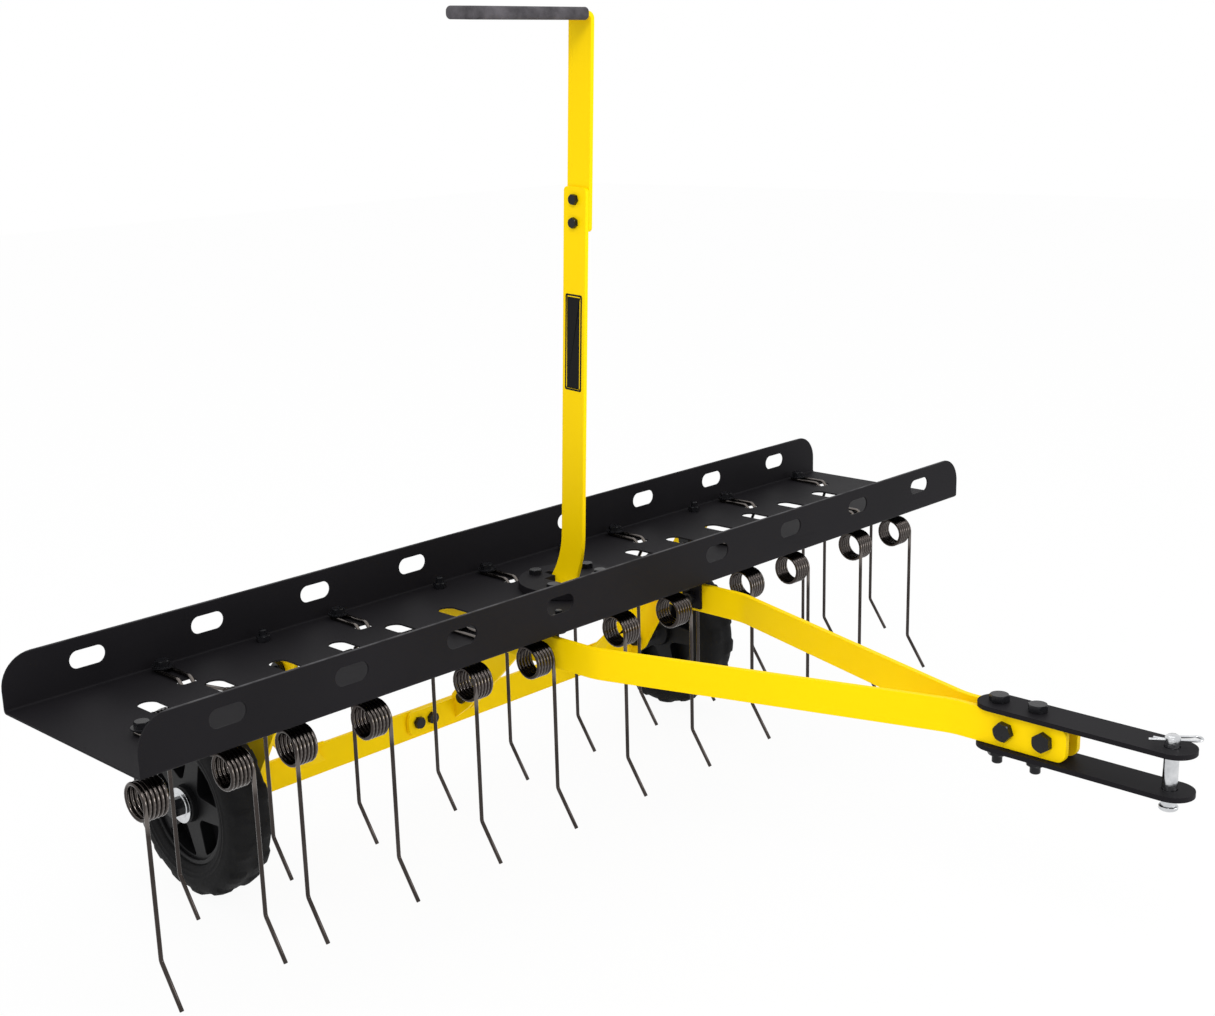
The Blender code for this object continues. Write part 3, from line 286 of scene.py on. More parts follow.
def finishPiece(name, bm, look, body, *replaced, edge=0.0, segments=2, smooth=35, place=trayFrame):
    bmesh.ops.transform(bm, matrix=place, verts=bm.verts)
    bmesh.ops.remove_doubles(bm, verts=bm.verts, dist=merge)
    bmesh.ops.recalc_face_normals(bm, faces=bm.faces)
    mesh = toMesh(bm, name)
    mesh.polygons.foreach_set("use_smooth", [True] * len(mesh.polygons))
    mesh.set_sharp_from_angle(angle=math.radians(smooth))
    mesh.materials.append(look)
    piece = putIn(name, mesh)
    if edge:
        bevel = piece.modifiers.new("softEdge", "BEVEL")
        bevel.width = edge
        bevel.segments = segments
        bevel.limit_method = "ANGLE"
        bevel.angle_limit = bevelFrom
        bevel.harden_normals = True
    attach(piece, rigs[body])
    if replaced:
        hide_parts(*replaced)
    return piece


def addTo(whole, bm):  # joins one bmesh into another
    mesh = toMesh(bm, "joined")
    whole.from_mesh(mesh)
    bpy.data.meshes.remove(mesh)


def startRing(bm, width, height, corners, spot, across, up):
    # a ring of edges to sweep: round when it has many corners, a bar's section when it has four
    if corners == 4:
        made = bmesh.ops.create_grid(bm, x_segments=1, y_segments=1, size=0.5)["verts"]
        bmesh.ops.delete(bm, geom=list({f for v in made for f in v.link_faces}), context="FACES_ONLY")
    else:
        made = bmesh.ops.create_circle(bm, cap_ends=False, segments=corners, radius=0.5)["verts"]
    place = Matrix((across, up, across.cross(up))).transposed().to_4x4()
    size = Matrix.Diagonal((width, height, 1.0, 1.0))
    bmesh.ops.transform(bm, matrix=Matrix.Translation(spot) @ place @ size, verts=made)
    return list({e for v in made for e in v.link_edges})


def runOn(bm, ring, step):  # a straight stretch
    made = bmesh.ops.extrude_edge_only(bm, edges=ring)["geom"]
    moved = vertsOf(made)
    bmesh.ops.translate(bm, verts=moved, vec=step)
    ends = set(moved)
    return [e for e in edgesOf(made) if e.verts[0] in ends and e.verts[1] in ends]


def bend(bm, ring, centre, axis, angle, steps, climb=(0, 0, 0)):  # a round stretch, or a coil if it climbs
    made = bmesh.ops.spin(bm, geom=ring, cent=centre, axis=axis, dvec=Vector(climb) / steps,
                          angle=angle, steps=steps, use_duplicate=False)
    return edgesOf(made["geom_last"])


def follow(bm, ring, spot, heading, axis, route, step=6):
    # sweeps along straight lengths and (radius, angle) turns about one axis, with steps of so many degrees
    spot, heading = Vector(spot), Vector(heading)
    for stretch in route:
        if isinstance(stretch, tuple):
            radius, angle = stretch
            centre = spot + axis.cross(heading) * math.copysign(radius, angle)
            ring = bend(bm, ring, centre, axis, angle, max(2, round(abs(math.degrees(angle)) / step)))
            turn = Matrix.Rotation(angle, 3, axis)
            spot = centre + turn @ (spot - centre)
            heading = turn @ heading
        else:
            ring = runOn(bm, ring, heading * stretch)
            spot = spot + heading * stretch
    return ring


def closeRing(bm, ring):
    return bmesh.ops.contextual_create(bm, geom=ring)["faces"]


def sweepBar(width, height, corners, spot, across, up, heading, axis, route, step):
    # a whole bar or wire, and the rings at its two ends
    bm = bmesh.new()
    first = startRing(bm, width, height, corners, spot, across, up)
    closeRing(bm, first)
    last = follow(bm, first, spot, heading, axis, route, step)
    closeRing(bm, last)
    return bm, (first, last)


def roundEdges(bm, picked, radius, segments=5):
    bmesh.ops.bevel(bm, geom=picked, offset=radius, offset_type="OFFSET", segments=segments, profile=0.5,
                    affect="EDGES", material=-1, clamp_overlap=True)


def roundCorners(bm, picked, radius, segments=5):
    bmesh.ops.bevel(bm, geom=picked, offset=radius, offset_type="OFFSET", segments=segments, profile=0.5,
                    affect="VERTICES", material=-1)


def block(bm, low, high):
    low, high = Vector(low), Vector(high)
    place = Matrix.Translation((low + high) / 2) @ Matrix.Diagonal((*(high - low), 1))
    bmesh.ops.create_cube(bm, size=1.0, matrix=place)


def disc(bm, spot, radius, depth, axis=xAxis, segments=48):
    turn = axis.to_track_quat("Z", "Y").to_matrix().to_4x4()
    return bmesh.ops.create_cone(bm, cap_ends=True, segments=segments, radius1=radius, radius2=radius,
                                 depth=depth, matrix=Matrix.Translation(spot) @ turn)["verts"]


def edgesAlong(edges, axis):
    return [e for e in edges if abs((e.verts[0].co - e.verts[1].co).normalized()[axis]) > straight]


def onLevel(items, axis, level, within=merge):  # the edges or faces that lie at one level of an axis
    return [i for i in items if all(abs(v.co[axis] - level) < within for v in i.verts)]


def cornersAt(corners, axis, level):
    return [v for v in corners if abs(v.co[axis] - level) < near]


def roundHeel(bm, along, first, second, radius):  # the one long edge where two (axis, level) faces meet
    roundEdges(bm, onLevel(onLevel(edgesAlong(bm.edges, along), *first, near), *second, near), radius)


def wrap(bm):  # the tight skin round everything drawn so far
    bmesh.ops.delete(bm, geom=bm.edges[:], context="EDGES_FACES")
    done = bmesh.ops.convex_hull(bm, input=bm.verts, use_existing_faces=False)
    spare = {v for v in vertsOf(done["geom_interior"]) + vertsOf(done["geom_unused"])}
    bmesh.ops.delete(bm, geom=list(spare), context="VERTS")
    bmesh.ops.dissolve_limit(bm, angle_limit=math.radians(1), verts=bm.verts, edges=bm.edges)


def arcPoints(radius, start, end, steps):
    turns = [start + (end - start) * i / steps for i in range(steps + 1)]
    return [(radius * math.cos(t), radius * math.sin(t)) for t in turns]


def drawPath(bm, points, closed=True):  # flat points lie on the drawing plane
    corners = [bm.verts.new(Vector(point).to_3d()) for point in points]
    for here, after in zip(corners, corners[1:] + (corners[:1] if closed else [])):
        bm.edges.new((here, after))
    return corners


def slotLoop(bm, centre, length, width, axis=0, segments=24):
    # a circle pulled apart at its middle
    made = bmesh.ops.create_circle(bm, cap_ends=False, segments=segments, radius=width / 2)["verts"]
    bmesh.ops.rotate(bm, verts=made, cent=(0, 0, 0), matrix=Matrix.Rotation(math.pi / segments, 3, "Z"))
    for sign in (-1, 1):
        push = Vector((0.0, 0.0, 0.0))
        push[axis] = sign * (length - width) / 2
        bmesh.ops.translate(bm, verts=[v for v in made if v.co[axis] * sign > 0], vec=push)
    bmesh.ops.translate(bm, verts=made, vec=(*centre, 0))


def roundLoop(bm, centre, radius, segments):
    made = bmesh.ops.create_circle(bm, cap_ends=False, segments=segments, radius=radius)["verts"]
    bmesh.ops.translate(bm, verts=made, vec=(*centre, 0))


def boxLoop(bm, low, high, radius=0.0):
    corners = drawPath(bm, [low, (high[0], low[1]), high, (low[0], high[1])])
    if radius:
        roundCorners(bm, corners, radius, 4)
    return corners


def fillFlat(bm):
    bmesh.ops.triangle_fill(bm, use_beauty=True, use_dissolve=False, edges=bm.edges[:], normal=zAxis)


def cutPlate(draw, thickness, turn=Matrix.Identity(4), level=0.0):
    # outlines drawn flat, filled, given a thickness about their level and turned to their plane
    bm = bmesh.new()
    draw(bm)
    fillFlat(bm)
    raised = bmesh.ops.extrude_face_region(bm, geom=bm.faces[:], use_keep_orig=True)["geom"]
    bmesh.ops.translate(bm, verts=vertsOf(raised), vec=(0, 0, thickness))
    bmesh.ops.translate(bm, verts=bm.verts, vec=(0, 0, level - thickness / 2))
    bmesh.ops.transform(bm, matrix=turn, verts=bm.verts)
    return bm


def lathe(points, steps, closed=True):  # turns (along, radius) points round the x axis
    bm = bmesh.new()
    drawPath(bm, [(along, 0, radius) for along, radius in points], closed)
    bmesh.ops.spin(bm, geom=bm.verts[:] + bm.edges[:], cent=(0, 0, 0), axis=xAxis, angle=2 * math.pi,
                   steps=steps, use_merge=True, use_duplicate=False)
    bmesh.ops.remove_doubles(bm, verts=bm.verts, dist=merge)
    return bm


def bothWays(points):  # a lathe's outline that is the same to the left and to the right
    return [(-along, radius) for along, radius in reversed(points)] + points


# hex bolts

boltSizes = {  # shank radius, across flats, head height, nut height
    "m8": (0.004, 0.013, 0.0055, 0.0065), "m10": (0.005, 0.016, 0.0065, 0.0065),
    "side": (0.004, 0.016, 0.0065, 0.0065), "joint": (0.003, 0.010, 0.0045, 0.0050),
    "hitch": (0.005, 0.016, 0.0065, 0.0080), "axle": (0.006, 0.018, 0.0120, 0.0065)}
bolt = {"chamfer": 0.075, "washer": 0.80, "thread": 0.96, "tip": 0.0008, "edge": 0.00025,
        "cutWithin": 1e-7, "firstTurn": 0.35, "nextTurn": 0.8}  # the first two times the width across flats


def hexBlock(bm, flats, low, high, both):
    # a round bar with its edges turned down, then cut to six flats, as a real head or nut is
    before = set(bm.verts)
    made = disc(bm, (0, 0, (low + high) / 2), flats / math.sqrt(3), high - low, zAxis, 36)
    edges = {e for v in made for e in v.link_edges}
    rims = onLevel(edges, 2, high) + (onLevel(edges, 2, low) if both else [])
    roundEdges(bm, rims, flats * bolt["chamfer"], 1)
    for side in range(6):
        face = Matrix.Rotation(side * math.pi / 3, 3, "Z") @ xAxis
        mine = [v for v in bm.verts if v not in before]
        geom = {item for v in mine for item in (v, *v.link_edges, *v.link_faces)}
        cut = bmesh.ops.bisect_plane(bm, geom=list(geom), dist=bolt["cutWithin"], plane_co=face * flats / 2,
                                     plane_no=face, clear_outer=True)
        bmesh.ops.contextual_create(bm, geom=edgesOf(cut["geom_cut"]))


def addBolt(whole, size, direction, spot, grip, tail, washer, turned):
    radius, flats, height, nutHeight = boltSizes[size]
    bm = bmesh.new()
    hexBlock(bm, flats, washer, washer + height, False)
    if washer:
        disc(bm, (0, 0, washer / 2), flats * bolt["washer"], washer, zAxis, 28)
    end = -grip - nutHeight - tail
    top = washer + height / 2
    shank = disc(bm, (0, 0, (top + end) / 2), radius * bolt["thread"], top - end, zAxis, 18)
    roundEdges(bm, onLevel({e for v in shank for e in v.link_edges}, 2, end), bolt["tip"], 1)
    hexBlock(bm, flats, -grip - nutHeight, -grip, True)
    turn = direction.to_track_quat("Z", "Y").to_matrix().to_4x4() @ Matrix.Rotation(turned, 4, "Z")
    bmesh.ops.transform(bm, matrix=Matrix.Translation(spot) @ turn, verts=bm.verts)
    addTo(whole, bm)


def makeBolts(name, body, size, direction, spots, *replaced, grip=0.0, tail=0.003, washer=0.0,
              place=trayFrame):
    # without a grip they reach from their spot down to the floor's underside
    bm = bmesh.new()
    for number, spot in enumerate(spots):
        addBolt(bm, size, direction, spot, grip or spot[2], tail, washer,
                bolt["firstTurn"] + bolt["nextTurn"] * number)
    finishPiece(name, bm, blackBolt, body, *replaced, edge=bolt["edge"], segments=1, place=place)


# spring tines

tine = {"wire": 0.0040, "sides": 12, "hairpin": 0.0065, "bolt": 0.070, "over": 0.0043, "under": -0.0026,
        "dipStart": 0.0343, "dipRadius": 0.006, "dipTurn": math.radians(45), "dipStep": 11.25,
        "swayRadius": 0.007, "swayTurn": math.radians(64), "coilRadius": 0.0163, "coilDrop": 0.0255,
        "turns": 5.25, "pitch": 0.00415, "stepsPerTurn": 26, "finger": 0.0533275, "bendDrop": 0.165,
        "tip": (0.026, 0.038),
        "tipBend": 0.008, "tipEdge": 0.0004, "rows": {"rear": 0.030, "front": -0.098},
        "centres": (-8.5, -4.5, -0.5, 3.5, 7.5, 10.375), "seat": 0.0066, "plateSeat": 0.0117,
        "onPlate": ("front", 4), "washer": 0.0016, "smooth": 50,
        # the last three keys set a painted highlight on the coils: its paler colour, the band across each
        # turn where it is painted, and the heights above which it is painted
        "paintedHighlight": (0.145, 0.130, 0.121), "crest": (0.00155, 0.00195), "paintedHighlightAbove": (-0.050, -0.040)}
tineSpots = [("rear", k + 1, tine["finger"] * x) for k, x in enumerate(tine["centres"])]
tineSpots += [("front", k + 1, -tine["finger"] * x) for k, x in enumerate(reversed(tine["centres"]))]


def paintCoilHighlights(made):  # painted highlight: the crest of each coil turn, and the wire above the coils, is painted a paler colour where a lamp's streak would fall; the grooves between turns keep the wire's darker colour
    tree, base, scale, where = reopen(made)
    split = addNode(tree, "SeparateXYZ", {"Vector": where})
    rear, front = tine["rows"]["rear"], tine["rows"]["front"]
    across = mathNode(tree, "SUBTRACT", split["Y"], trayPlace.y + (rear + front) / 2)
    across = mathNode(tree, "SUBTRACT", mathNode(tree, "ABSOLUTE", across), (rear - front) / 2)
    height = mathNode(tree, "SUBTRACT", split["Z"], trayPlace.z)
    rise = mathNode(tree, "ADD", height, tine["coilDrop"])
    squares = [mathNode(tree, "MULTIPLY", value, value) for value in (across, rise)]
    reach = mathNode(tree, "SQRT", mathNode(tree, "ADD", *squares))
    crest = mathNode(tree, "ABSOLUTE", mathNode(tree, "SUBTRACT", reach, tine["coilRadius"]))
    paintedHighlight = mathNode(tree, "MULTIPLY", remap(tree, crest, *tine["crest"]),
                      remap(tree, height, *tine["paintedHighlightAbove"]))
    # painted highlight: the wire's own colour (held in scale) is mixed towards the paler colour on the crests
    # and the wire above the coils
    feed(tree, base, mixColour(tree, paintedHighlight, scale, tine["paintedHighlight"]))


def springMesh():
    t = tine
    over, under, hairpin, shank, finger = t["over"], t["under"], t["hairpin"], t["bolt"], t["finger"]
    dip, dipTurn, sway, swayTurn = t["dipRadius"], t["dipTurn"], t["swayRadius"], t["swayTurn"]
    coil, drop = t["coilRadius"], t["coilDrop"]
    slope = over - under - 2 * dip * (1 - math.cos(dipTurn))
    dipLength = 2 * dip * math.sin(dipTurn) + slope
    startX = finger - t["turns"] * t["pitch"]
    width = startX - hairpin - 2 * sway * (1 - math.cos(swayTurn))
    length = width / math.sin(swayTurn)
    reach = 2 * sway * math.sin(swayTurn) + length * math.cos(swayTurn)
    down = under - (coil - drop)
    bm = bmesh.new()
    # round the bolt, along the floor and down through it
    ring = startRing(bm, t["wire"], t["wire"], t["sides"], (0, shank + hairpin, over), yAxis, zAxis)
    ring = bend(bm, ring, (0, shank, over), zAxis, -quarter, 8)
    ring = follow(bm, ring, (hairpin, shank, over), -yAxis, xAxis,
                  [shank - t["dipStart"], (dip, dipTurn), slope / math.sin(dipTurn), (dip, -dipTurn),
                   t["dipStart"] - dipLength - reach], t["dipStep"])
    # out to the side, down to the top of the coil, and round it
    ring = bend(bm, ring, (hairpin + sway, reach, under), zAxis, swayTurn, 5)
    ring = runOn(bm, ring, (width, -length * math.cos(swayTurn), -down))
    ring = bend(bm, ring, (startX - sway, 0, under - down), zAxis, -swayTurn, 5)
    ring = bend(bm, ring, (startX, 0, -drop), xAxis, t["turns"] * 2 * math.pi,
                round(t["turns"] * t["stepsPerTurn"]), (finger - startX, 0, 0))
    # the finger, with its tip bent forward
    lean = math.atan2(*t["tip"])
    tangent = t["tipBend"] * math.tan(lean / 2)
    ring = follow(bm, ring, (finger, -coil, -drop), -zAxis, xAxis,
                  [t["bendDrop"] - drop - tangent, (t["tipBend"], -lean), math.hypot(*t["tip"]) - tangent])
    roundEdges(bm, list({e for f in closeRing(bm, ring) for e in f.edges}), t["tipEdge"], 1)
    bmesh.ops.mirror(bm, geom=bm.verts[:] + bm.edges[:] + bm.faces[:], merge_dist=5 * merge, axis="X")
    return toMesh(bm, "spring")


def makeTines():
    master = springMesh()
    for row, number, x in tineSpots:
        bm = bmesh.new()
        bm.from_mesh(master)
        finishPiece("spring_%s_%d" % (row, number), bm, springWire, "tray", "tine_%s_%d" % (row, number),
                    smooth=tine["smooth"], place=at(x, tine["rows"][row], 0))


def makeSpringBolts():
    spots = []
    for row, number, x in tineSpots:
        seat = tine["plateSeat"] if (row, number) == tine["onPlate"] else tine["seat"]
        spots.append((x, tine["rows"][row] + tine["bolt"], seat))
    makeBolts("springBolts", "tray", "m8", zAxis, spots, tail=0.0, washer=tine["washer"])


# paints highlights on the coil crests
paintCoilHighlights(springWire)
makeTines()
makeSpringBolts()
print("spring tines made")


# the tray

tray = {"length": 1.2192, "depth": 0.234, "wall": 0.054, "sheet": 0.002, "bend": 0.004, "corner": 0.032,
        "wallSlot": (0.038, 0.018), "wallSlotZ": 0.032, "wallSlotGap": 0.246, "wallSlotPitch": 0.133,
        "wallSlotsASide": 4, "floorSlot": (0.040, 0.020), "floorSlotY": 0.022, "floorSlotPitch": 0.073,
        "floorSlots": (2, 8), "legHole": (0.0186, 0.013), "legHoleCorner": 0.004, "legHoleAhead": 0.028,
        # the last keys set a painted highlight along the walls' top edges: how far down it reaches, its
        # colour and its patches
        "edge": 0.0004, "rimHighlight": 0.0011, "rimHighlightColour": (0.075, 0.074, 0.078), "rimHighlightPatchScale": 40.0,
        "rimHighlightPatchFrom": (0.35, 0.60), "rimHighlightPatchTo": (0.3, 1.0)}
lane = {"front": -0.061, "back": 0.0295, "half": 0.00375, "side": -0.020, "pocket": (-0.030, 0.012),
        "floorMargin": 0.002}


def paintRimHighlight(made):  # painted highlight: a paler band, in patches, is painted along the walls' top edges where a lamp's glint would fall
    tree, base, coat, where = reopen(made)
    top = trayPlace.z + tray["wall"]
    height = addNode(tree, "SeparateXYZ", {"Vector": where})["Z"]
    rim = remap(tree, height, top - tray["rimHighlight"], top - tray["edge"])
    patches = remap(tree, noiseNode(tree, where, tray["rimHighlightPatchScale"]), *tray["rimHighlightPatchFrom"], *tray["rimHighlightPatchTo"])
    # the painted highlight's mask: the top edge band, broken into patches
    rimHighlight = mathNode(tree, "MULTIPLY", rim, patches)
    feed(tree, base, mixColour(tree, rimHighlight, coat, tray["rimHighlightColour"]))


def laneLoop(bm, margin=0.0):  # the lever's lane with the pocket beside it
    half = lane["half"] + margin
    side = lane["side"] - margin
    low, high = lane["pocket"][0] - margin, lane["pocket"][1] + margin
    front, back = lane["front"] - margin, lane["back"] + margin
    drawPath(bm, [(half, front), (half, back), (-half, back), (-half, high), (side, high), (side, low),
                  (-half, low), (-half, front)])


def trayFloor():
    end, flat = tray["length"] / 2, tray["depth"] / 2 - tray["bend"]
    bm = bmesh.new()
    boxLoop(bm, (-end, -flat), (end, flat))
    for k in range(*tray["floorSlots"]):
        for side in (-1, 1):
            slotLoop(bm, (side * k * tray["floorSlotPitch"], tray["floorSlotY"]), *tray["floorSlot"], 1)
    across, along = tray["legHole"]
    for row, number, x in tineSpots:
        y = tine["rows"][row] + tray["legHoleAhead"]
        boxLoop(bm, (x - across / 2, y - along / 2), (x + across / 2, y + along / 2), tray["legHoleCorner"])
    laneLoop(bm, lane["floorMargin"])
    fillFlat(bm)
    return bm


def trayWall(side):
    end = tray["length"] / 2
    bm = bmesh.new()
    outline = boxLoop(bm, (-end, tray["bend"]), (end, tray["wall"]))
    roundCorners(bm, cornersAt(outline, 1, tray["wall"]), tray["corner"], 10)
    for k in range(tray["wallSlotsASide"]):
        for way in (-1, 1):
            x = tray["wallSlotGap"] / 2 + tray["wallSlotPitch"] * k
            slotLoop(bm, (way * x, tray["wallSlotZ"]), *tray["wallSlot"])
    fillFlat(bm)
    place = Matrix.Translation((0, side * tray["depth"] / 2, 0)) @ frontPlane
    bmesh.ops.transform(bm, matrix=place, verts=bm.verts)
    return bm


def thicken(bm, thickness):  # a sheet's outer face gets its inner one, with the rims closed
    holder = putIn("sheet", toMesh(bm, "sheet"))
    solid = holder.modifiers.new("sheet", "SOLIDIFY")
    solid.thickness = thickness
    solid.offset = -1.0
    solid.use_even_offset = True
    solid.use_quality_normals = True
    bpy.context.view_layer.update()
    done = bpy.data.meshes.new_from_object(holder.evaluated_get(bpy.context.evaluated_depsgraph_get()))
    bpy.data.objects.remove(holder)
    thick = bmesh.new()
    thick.from_mesh(done)
    bpy.data.meshes.remove(done)
    return thick


def makeTray():
    flat = tray["depth"] / 2 - tray["bend"]
    shell = trayFloor()
    for side in (-1, 1):
        addTo(shell, trayWall(side))
        rim = onLevel(onLevel(shell.edges, 1, side * flat), 2, 0.0)
        bend(shell, rim, (0, side * flat, tray["bend"]), xAxis, side * quarter, 6)
    bmesh.ops.remove_doubles(shell, verts=shell.verts, dist=2 * merge)
    bmesh.ops.recalc_face_normals(shell, faces=shell.faces)
    lowest = min(shell.faces, key=lambda f: f.calc_center_median().z)
    if lowest.normal.z > 0:
        bmesh.ops.reverse_faces(shell, faces=shell.faces)
    finishPiece("trayShell", thicken(shell, tray["sheet"]), blackCoat, "tray", "tray", edge=tray["edge"])


# paints a highlight along the tray walls' top edges
paintRimHighlight(blackCoat)
makeTray()
print("tray made")


# the slot plate that the lever runs in

guide = {"radius": 0.058, "y": -0.008, "thick": 0.0091, "low": 0.0023, "circle": 0.043,
         "turns": (19.5, 109.5, 199.5), "edge": 0.0007}


def drawGuide(bm):
    roundLoop(bm, (0, guide["y"]), guide["radius"], 96)
    laneLoop(bm)


def makeSlotPlate():
    g = guide
    top = g["low"] + g["thick"]
    bm = cutPlate(drawGuide, g["thick"], level=g["low"] + g["thick"] / 2)
    finishPiece("slotPlateDisc", bm, blackCoat, "tray", "slot_plate", edge=g["edge"])
    turns = [math.radians(turn) for turn in g["turns"]]
    spots = [(g["circle"] * math.cos(t), g["y"] + g["circle"] * math.sin(t), top) for t in turns]
    makeBolts("slotPlateBolts", "tray", "m8", zAxis, spots, tail=0.0)


makeSlotPlate()
print("slot plate made")


# the lever, its joint, its grip and its label

lever = {"width": 0.032, "thick": 0.005, "foot": (0.175, -0.172), "knee": (-0.0127, 0.0177),
         "lean": math.radians(3), "bendRadius": 0.117, "lowerTop": 0.437, "upperFoot": 0.392, "top": 0.611,
         "jointBolts": (0.425, 0.401), "reach": 0.155, "handleBend": 0.008, "heelFlat": 0.0001,
         "corner": 0.0045, "edge": 0.0005}
grip = {"width": 0.040, "height": 0.01249, "start": 0.004, "cap": 0.004, "roll": 0.0052, "end": 0.0024,
        "edge": 0.0008}
label = {"middle": 0.275, "height": 0.103, "width": 0.0240, "thick": 0.00025, "corner": 0.0020,
         "margin": 0.0020, "line": 0.0010}
leverFrame = at(0, *lever["knee"]) @ Matrix.Rotation(lever["lean"], 4, "X")


def makeLeverLower():
    g = lever
    foot, knee = Vector((0, *g["foot"])), Vector((0, *g["knee"]))
    along = (knee - foot).normalized()
    turn = math.atan2(-along.y, along.z) - g["lean"]
    tangent = g["bendRadius"] * math.tan(turn / 2)
    heel = foot - along * g["width"] / 2
    upper = (g["lowerTop"] - knee.z) / math.cos(g["lean"]) - tangent
    route = [(knee - heel).length - tangent, (g["bendRadius"], -turn), upper]
    bm, ends = sweepBar(g["width"], g["thick"], 4, heel, Vector((0, along.z, -along.y)), xAxis,
                        along, xAxis, route, 3)
    roundEdges(bm, edgesAlong(ends[0], 0), g["width"] / 2 - g["heelFlat"], 10)
    roundEdges(bm, edgesAlong(ends[1], 0), g["corner"])
    finishPiece("leverLowerBar", bm, yellowCoat, "lift", "lever_lower", edge=g["edge"])


def makeLeverUpper():
    g = lever
    rise = g["knee"][1]
    left = g["thick"] / 2 + gap
    middle = left + g["thick"] / 2
    foot, top = g["upperFoot"] - rise, g["top"] - rise
    radius = g["handleBend"] - g["thick"] / 2
    route = [top - g["handleBend"] - foot, (radius, -quarter), g["reach"] + middle - radius]
    bm, ends = sweepBar(g["width"], g["thick"], 4, (middle, 0, foot), yAxis, xAxis, zAxis, yAxis, route, 10)
    roundEdges(bm, edgesAlong(ends[0], 0), g["corner"])
    finishPiece("leverUpperBar", bm, yellowCoat, "lift", "lever_upper", edge=g["edge"], place=leverFrame)
    makeBolts("leverJointBolts", "lift", "joint", -xAxis, [(-left, 0, z - rise) for z in g["jointBolts"]],
              "lever_joint_bolt_1", "lever_joint_bolt_2", grip=left * 2 + g["thick"], place=leverFrame)


def makeGrip():
    g = grip
    middle = lever["top"] - lever["knee"][1] - lever["thick"] / 2
    end = -lever["reach"] - g["cap"]
    bm = bmesh.new()
    block(bm, (end, -g["width"] / 2, middle - g["height"] / 2),
          (-g["start"], g["width"] / 2, middle + g["height"] / 2))
    roundEdges(bm, edgesAlong(bm.edges, 0), g["roll"], 7)
    roundEdges(bm, onLevel(bm.edges, 0, end), g["end"], 4)
    finishPiece("leverGripSleeve", bm, gripFoam, "lift", "lever_grip", edge=g["edge"], place=leverFrame)


def makeLabel():  # a bare black film with a thin yellow line inside its edge
    g = label
    face = -lever["thick"] / 2 - g["thick"]
    middle = g["middle"] - lever["knee"][1]
    bm = bmesh.new()
    block(bm, (face, -g["width"] / 2, middle - g["height"] / 2),
          (face + g["thick"], g["width"] / 2, middle + g["height"] / 2))
    roundEdges(bm, edgesAlong(bm.edges, 0), g["corner"], 4)
    front = onLevel(bm.faces, 0, face)
    bmesh.ops.inset_region(bm, faces=front, thickness=g["margin"])
    for f in bmesh.ops.inset_region(bm, faces=front, thickness=g["line"])["faces"]:
        f.material_index = 1
    made = finishPiece("leverLabel", bm, labelFilm, "lift", place=leverFrame)
    made.data.materials.append(yellowCoat)


makeLeverLower()
makeLeverUpper()
makeGrip()
makeLabel()
print("lever made")


# the lift frame with its braces and welds

swing = {"armX": 0.315, "bar": 0.005, "barHeight": 0.035, "crossY": 0.196, "crossTop": -0.177,
         "armWidth": 0.034, "overlap": 0.0001, "braceFoot": (0.117, 0.077), "braceFootDrop": 0.200,
         "braceHeads": (0.118, 0.080), "braceLean": 0.074, "braceThick": 0.004, "braceIn": 0.001,
         "edge": 0.0006}
weld = {"radius": 0.0022, "pitch": 0.0016, "swell": 0.10, "beat": 2.4, "inset": (0.003, 0.002),
        "braceIn": 0.003, "past": (0.004, 0.012), "proud": 0.0004}


def addWeld(whole, start, end):  # a row of ripples
    start, end = Vector(start), Vector(end)
    count = max(2, round((end - start).length / weld["pitch"]))
    for i in range(count + 1):
        size = weld["radius"] * (1.0 + weld["swell"] * math.sin(i * weld["beat"]))
        bmesh.ops.create_uvsphere(whole, u_segments=8, v_segments=6, radius=size,
                                  matrix=Matrix.Translation(start.lerp(end, i / count)))


def braceY(z):  # the brace lies on the cross bar and leans forward above it
    rise = -swing["braceHeads"][1] - swing["crossTop"]
    return swing["crossY"] - max(0.0, z - swing["crossTop"]) / rise * swing["braceLean"]


def addBrace(whole):
    g = swing
    corners = [(g["armX"] - inward, -g["braceFootDrop"]) for inward in g["braceFoot"]]
    corners += [(g["armX"] - g["braceThick"] / 2, -drop) for drop in g["braceHeads"]]
    bm = bmesh.new()
    for x, z in corners:
        for depth in (0, g["braceThick"]):
            bm.verts.new((x, braceY(z) + g["braceIn"] + depth, z))
    wrap(bm)
    addTo(whole, bm)


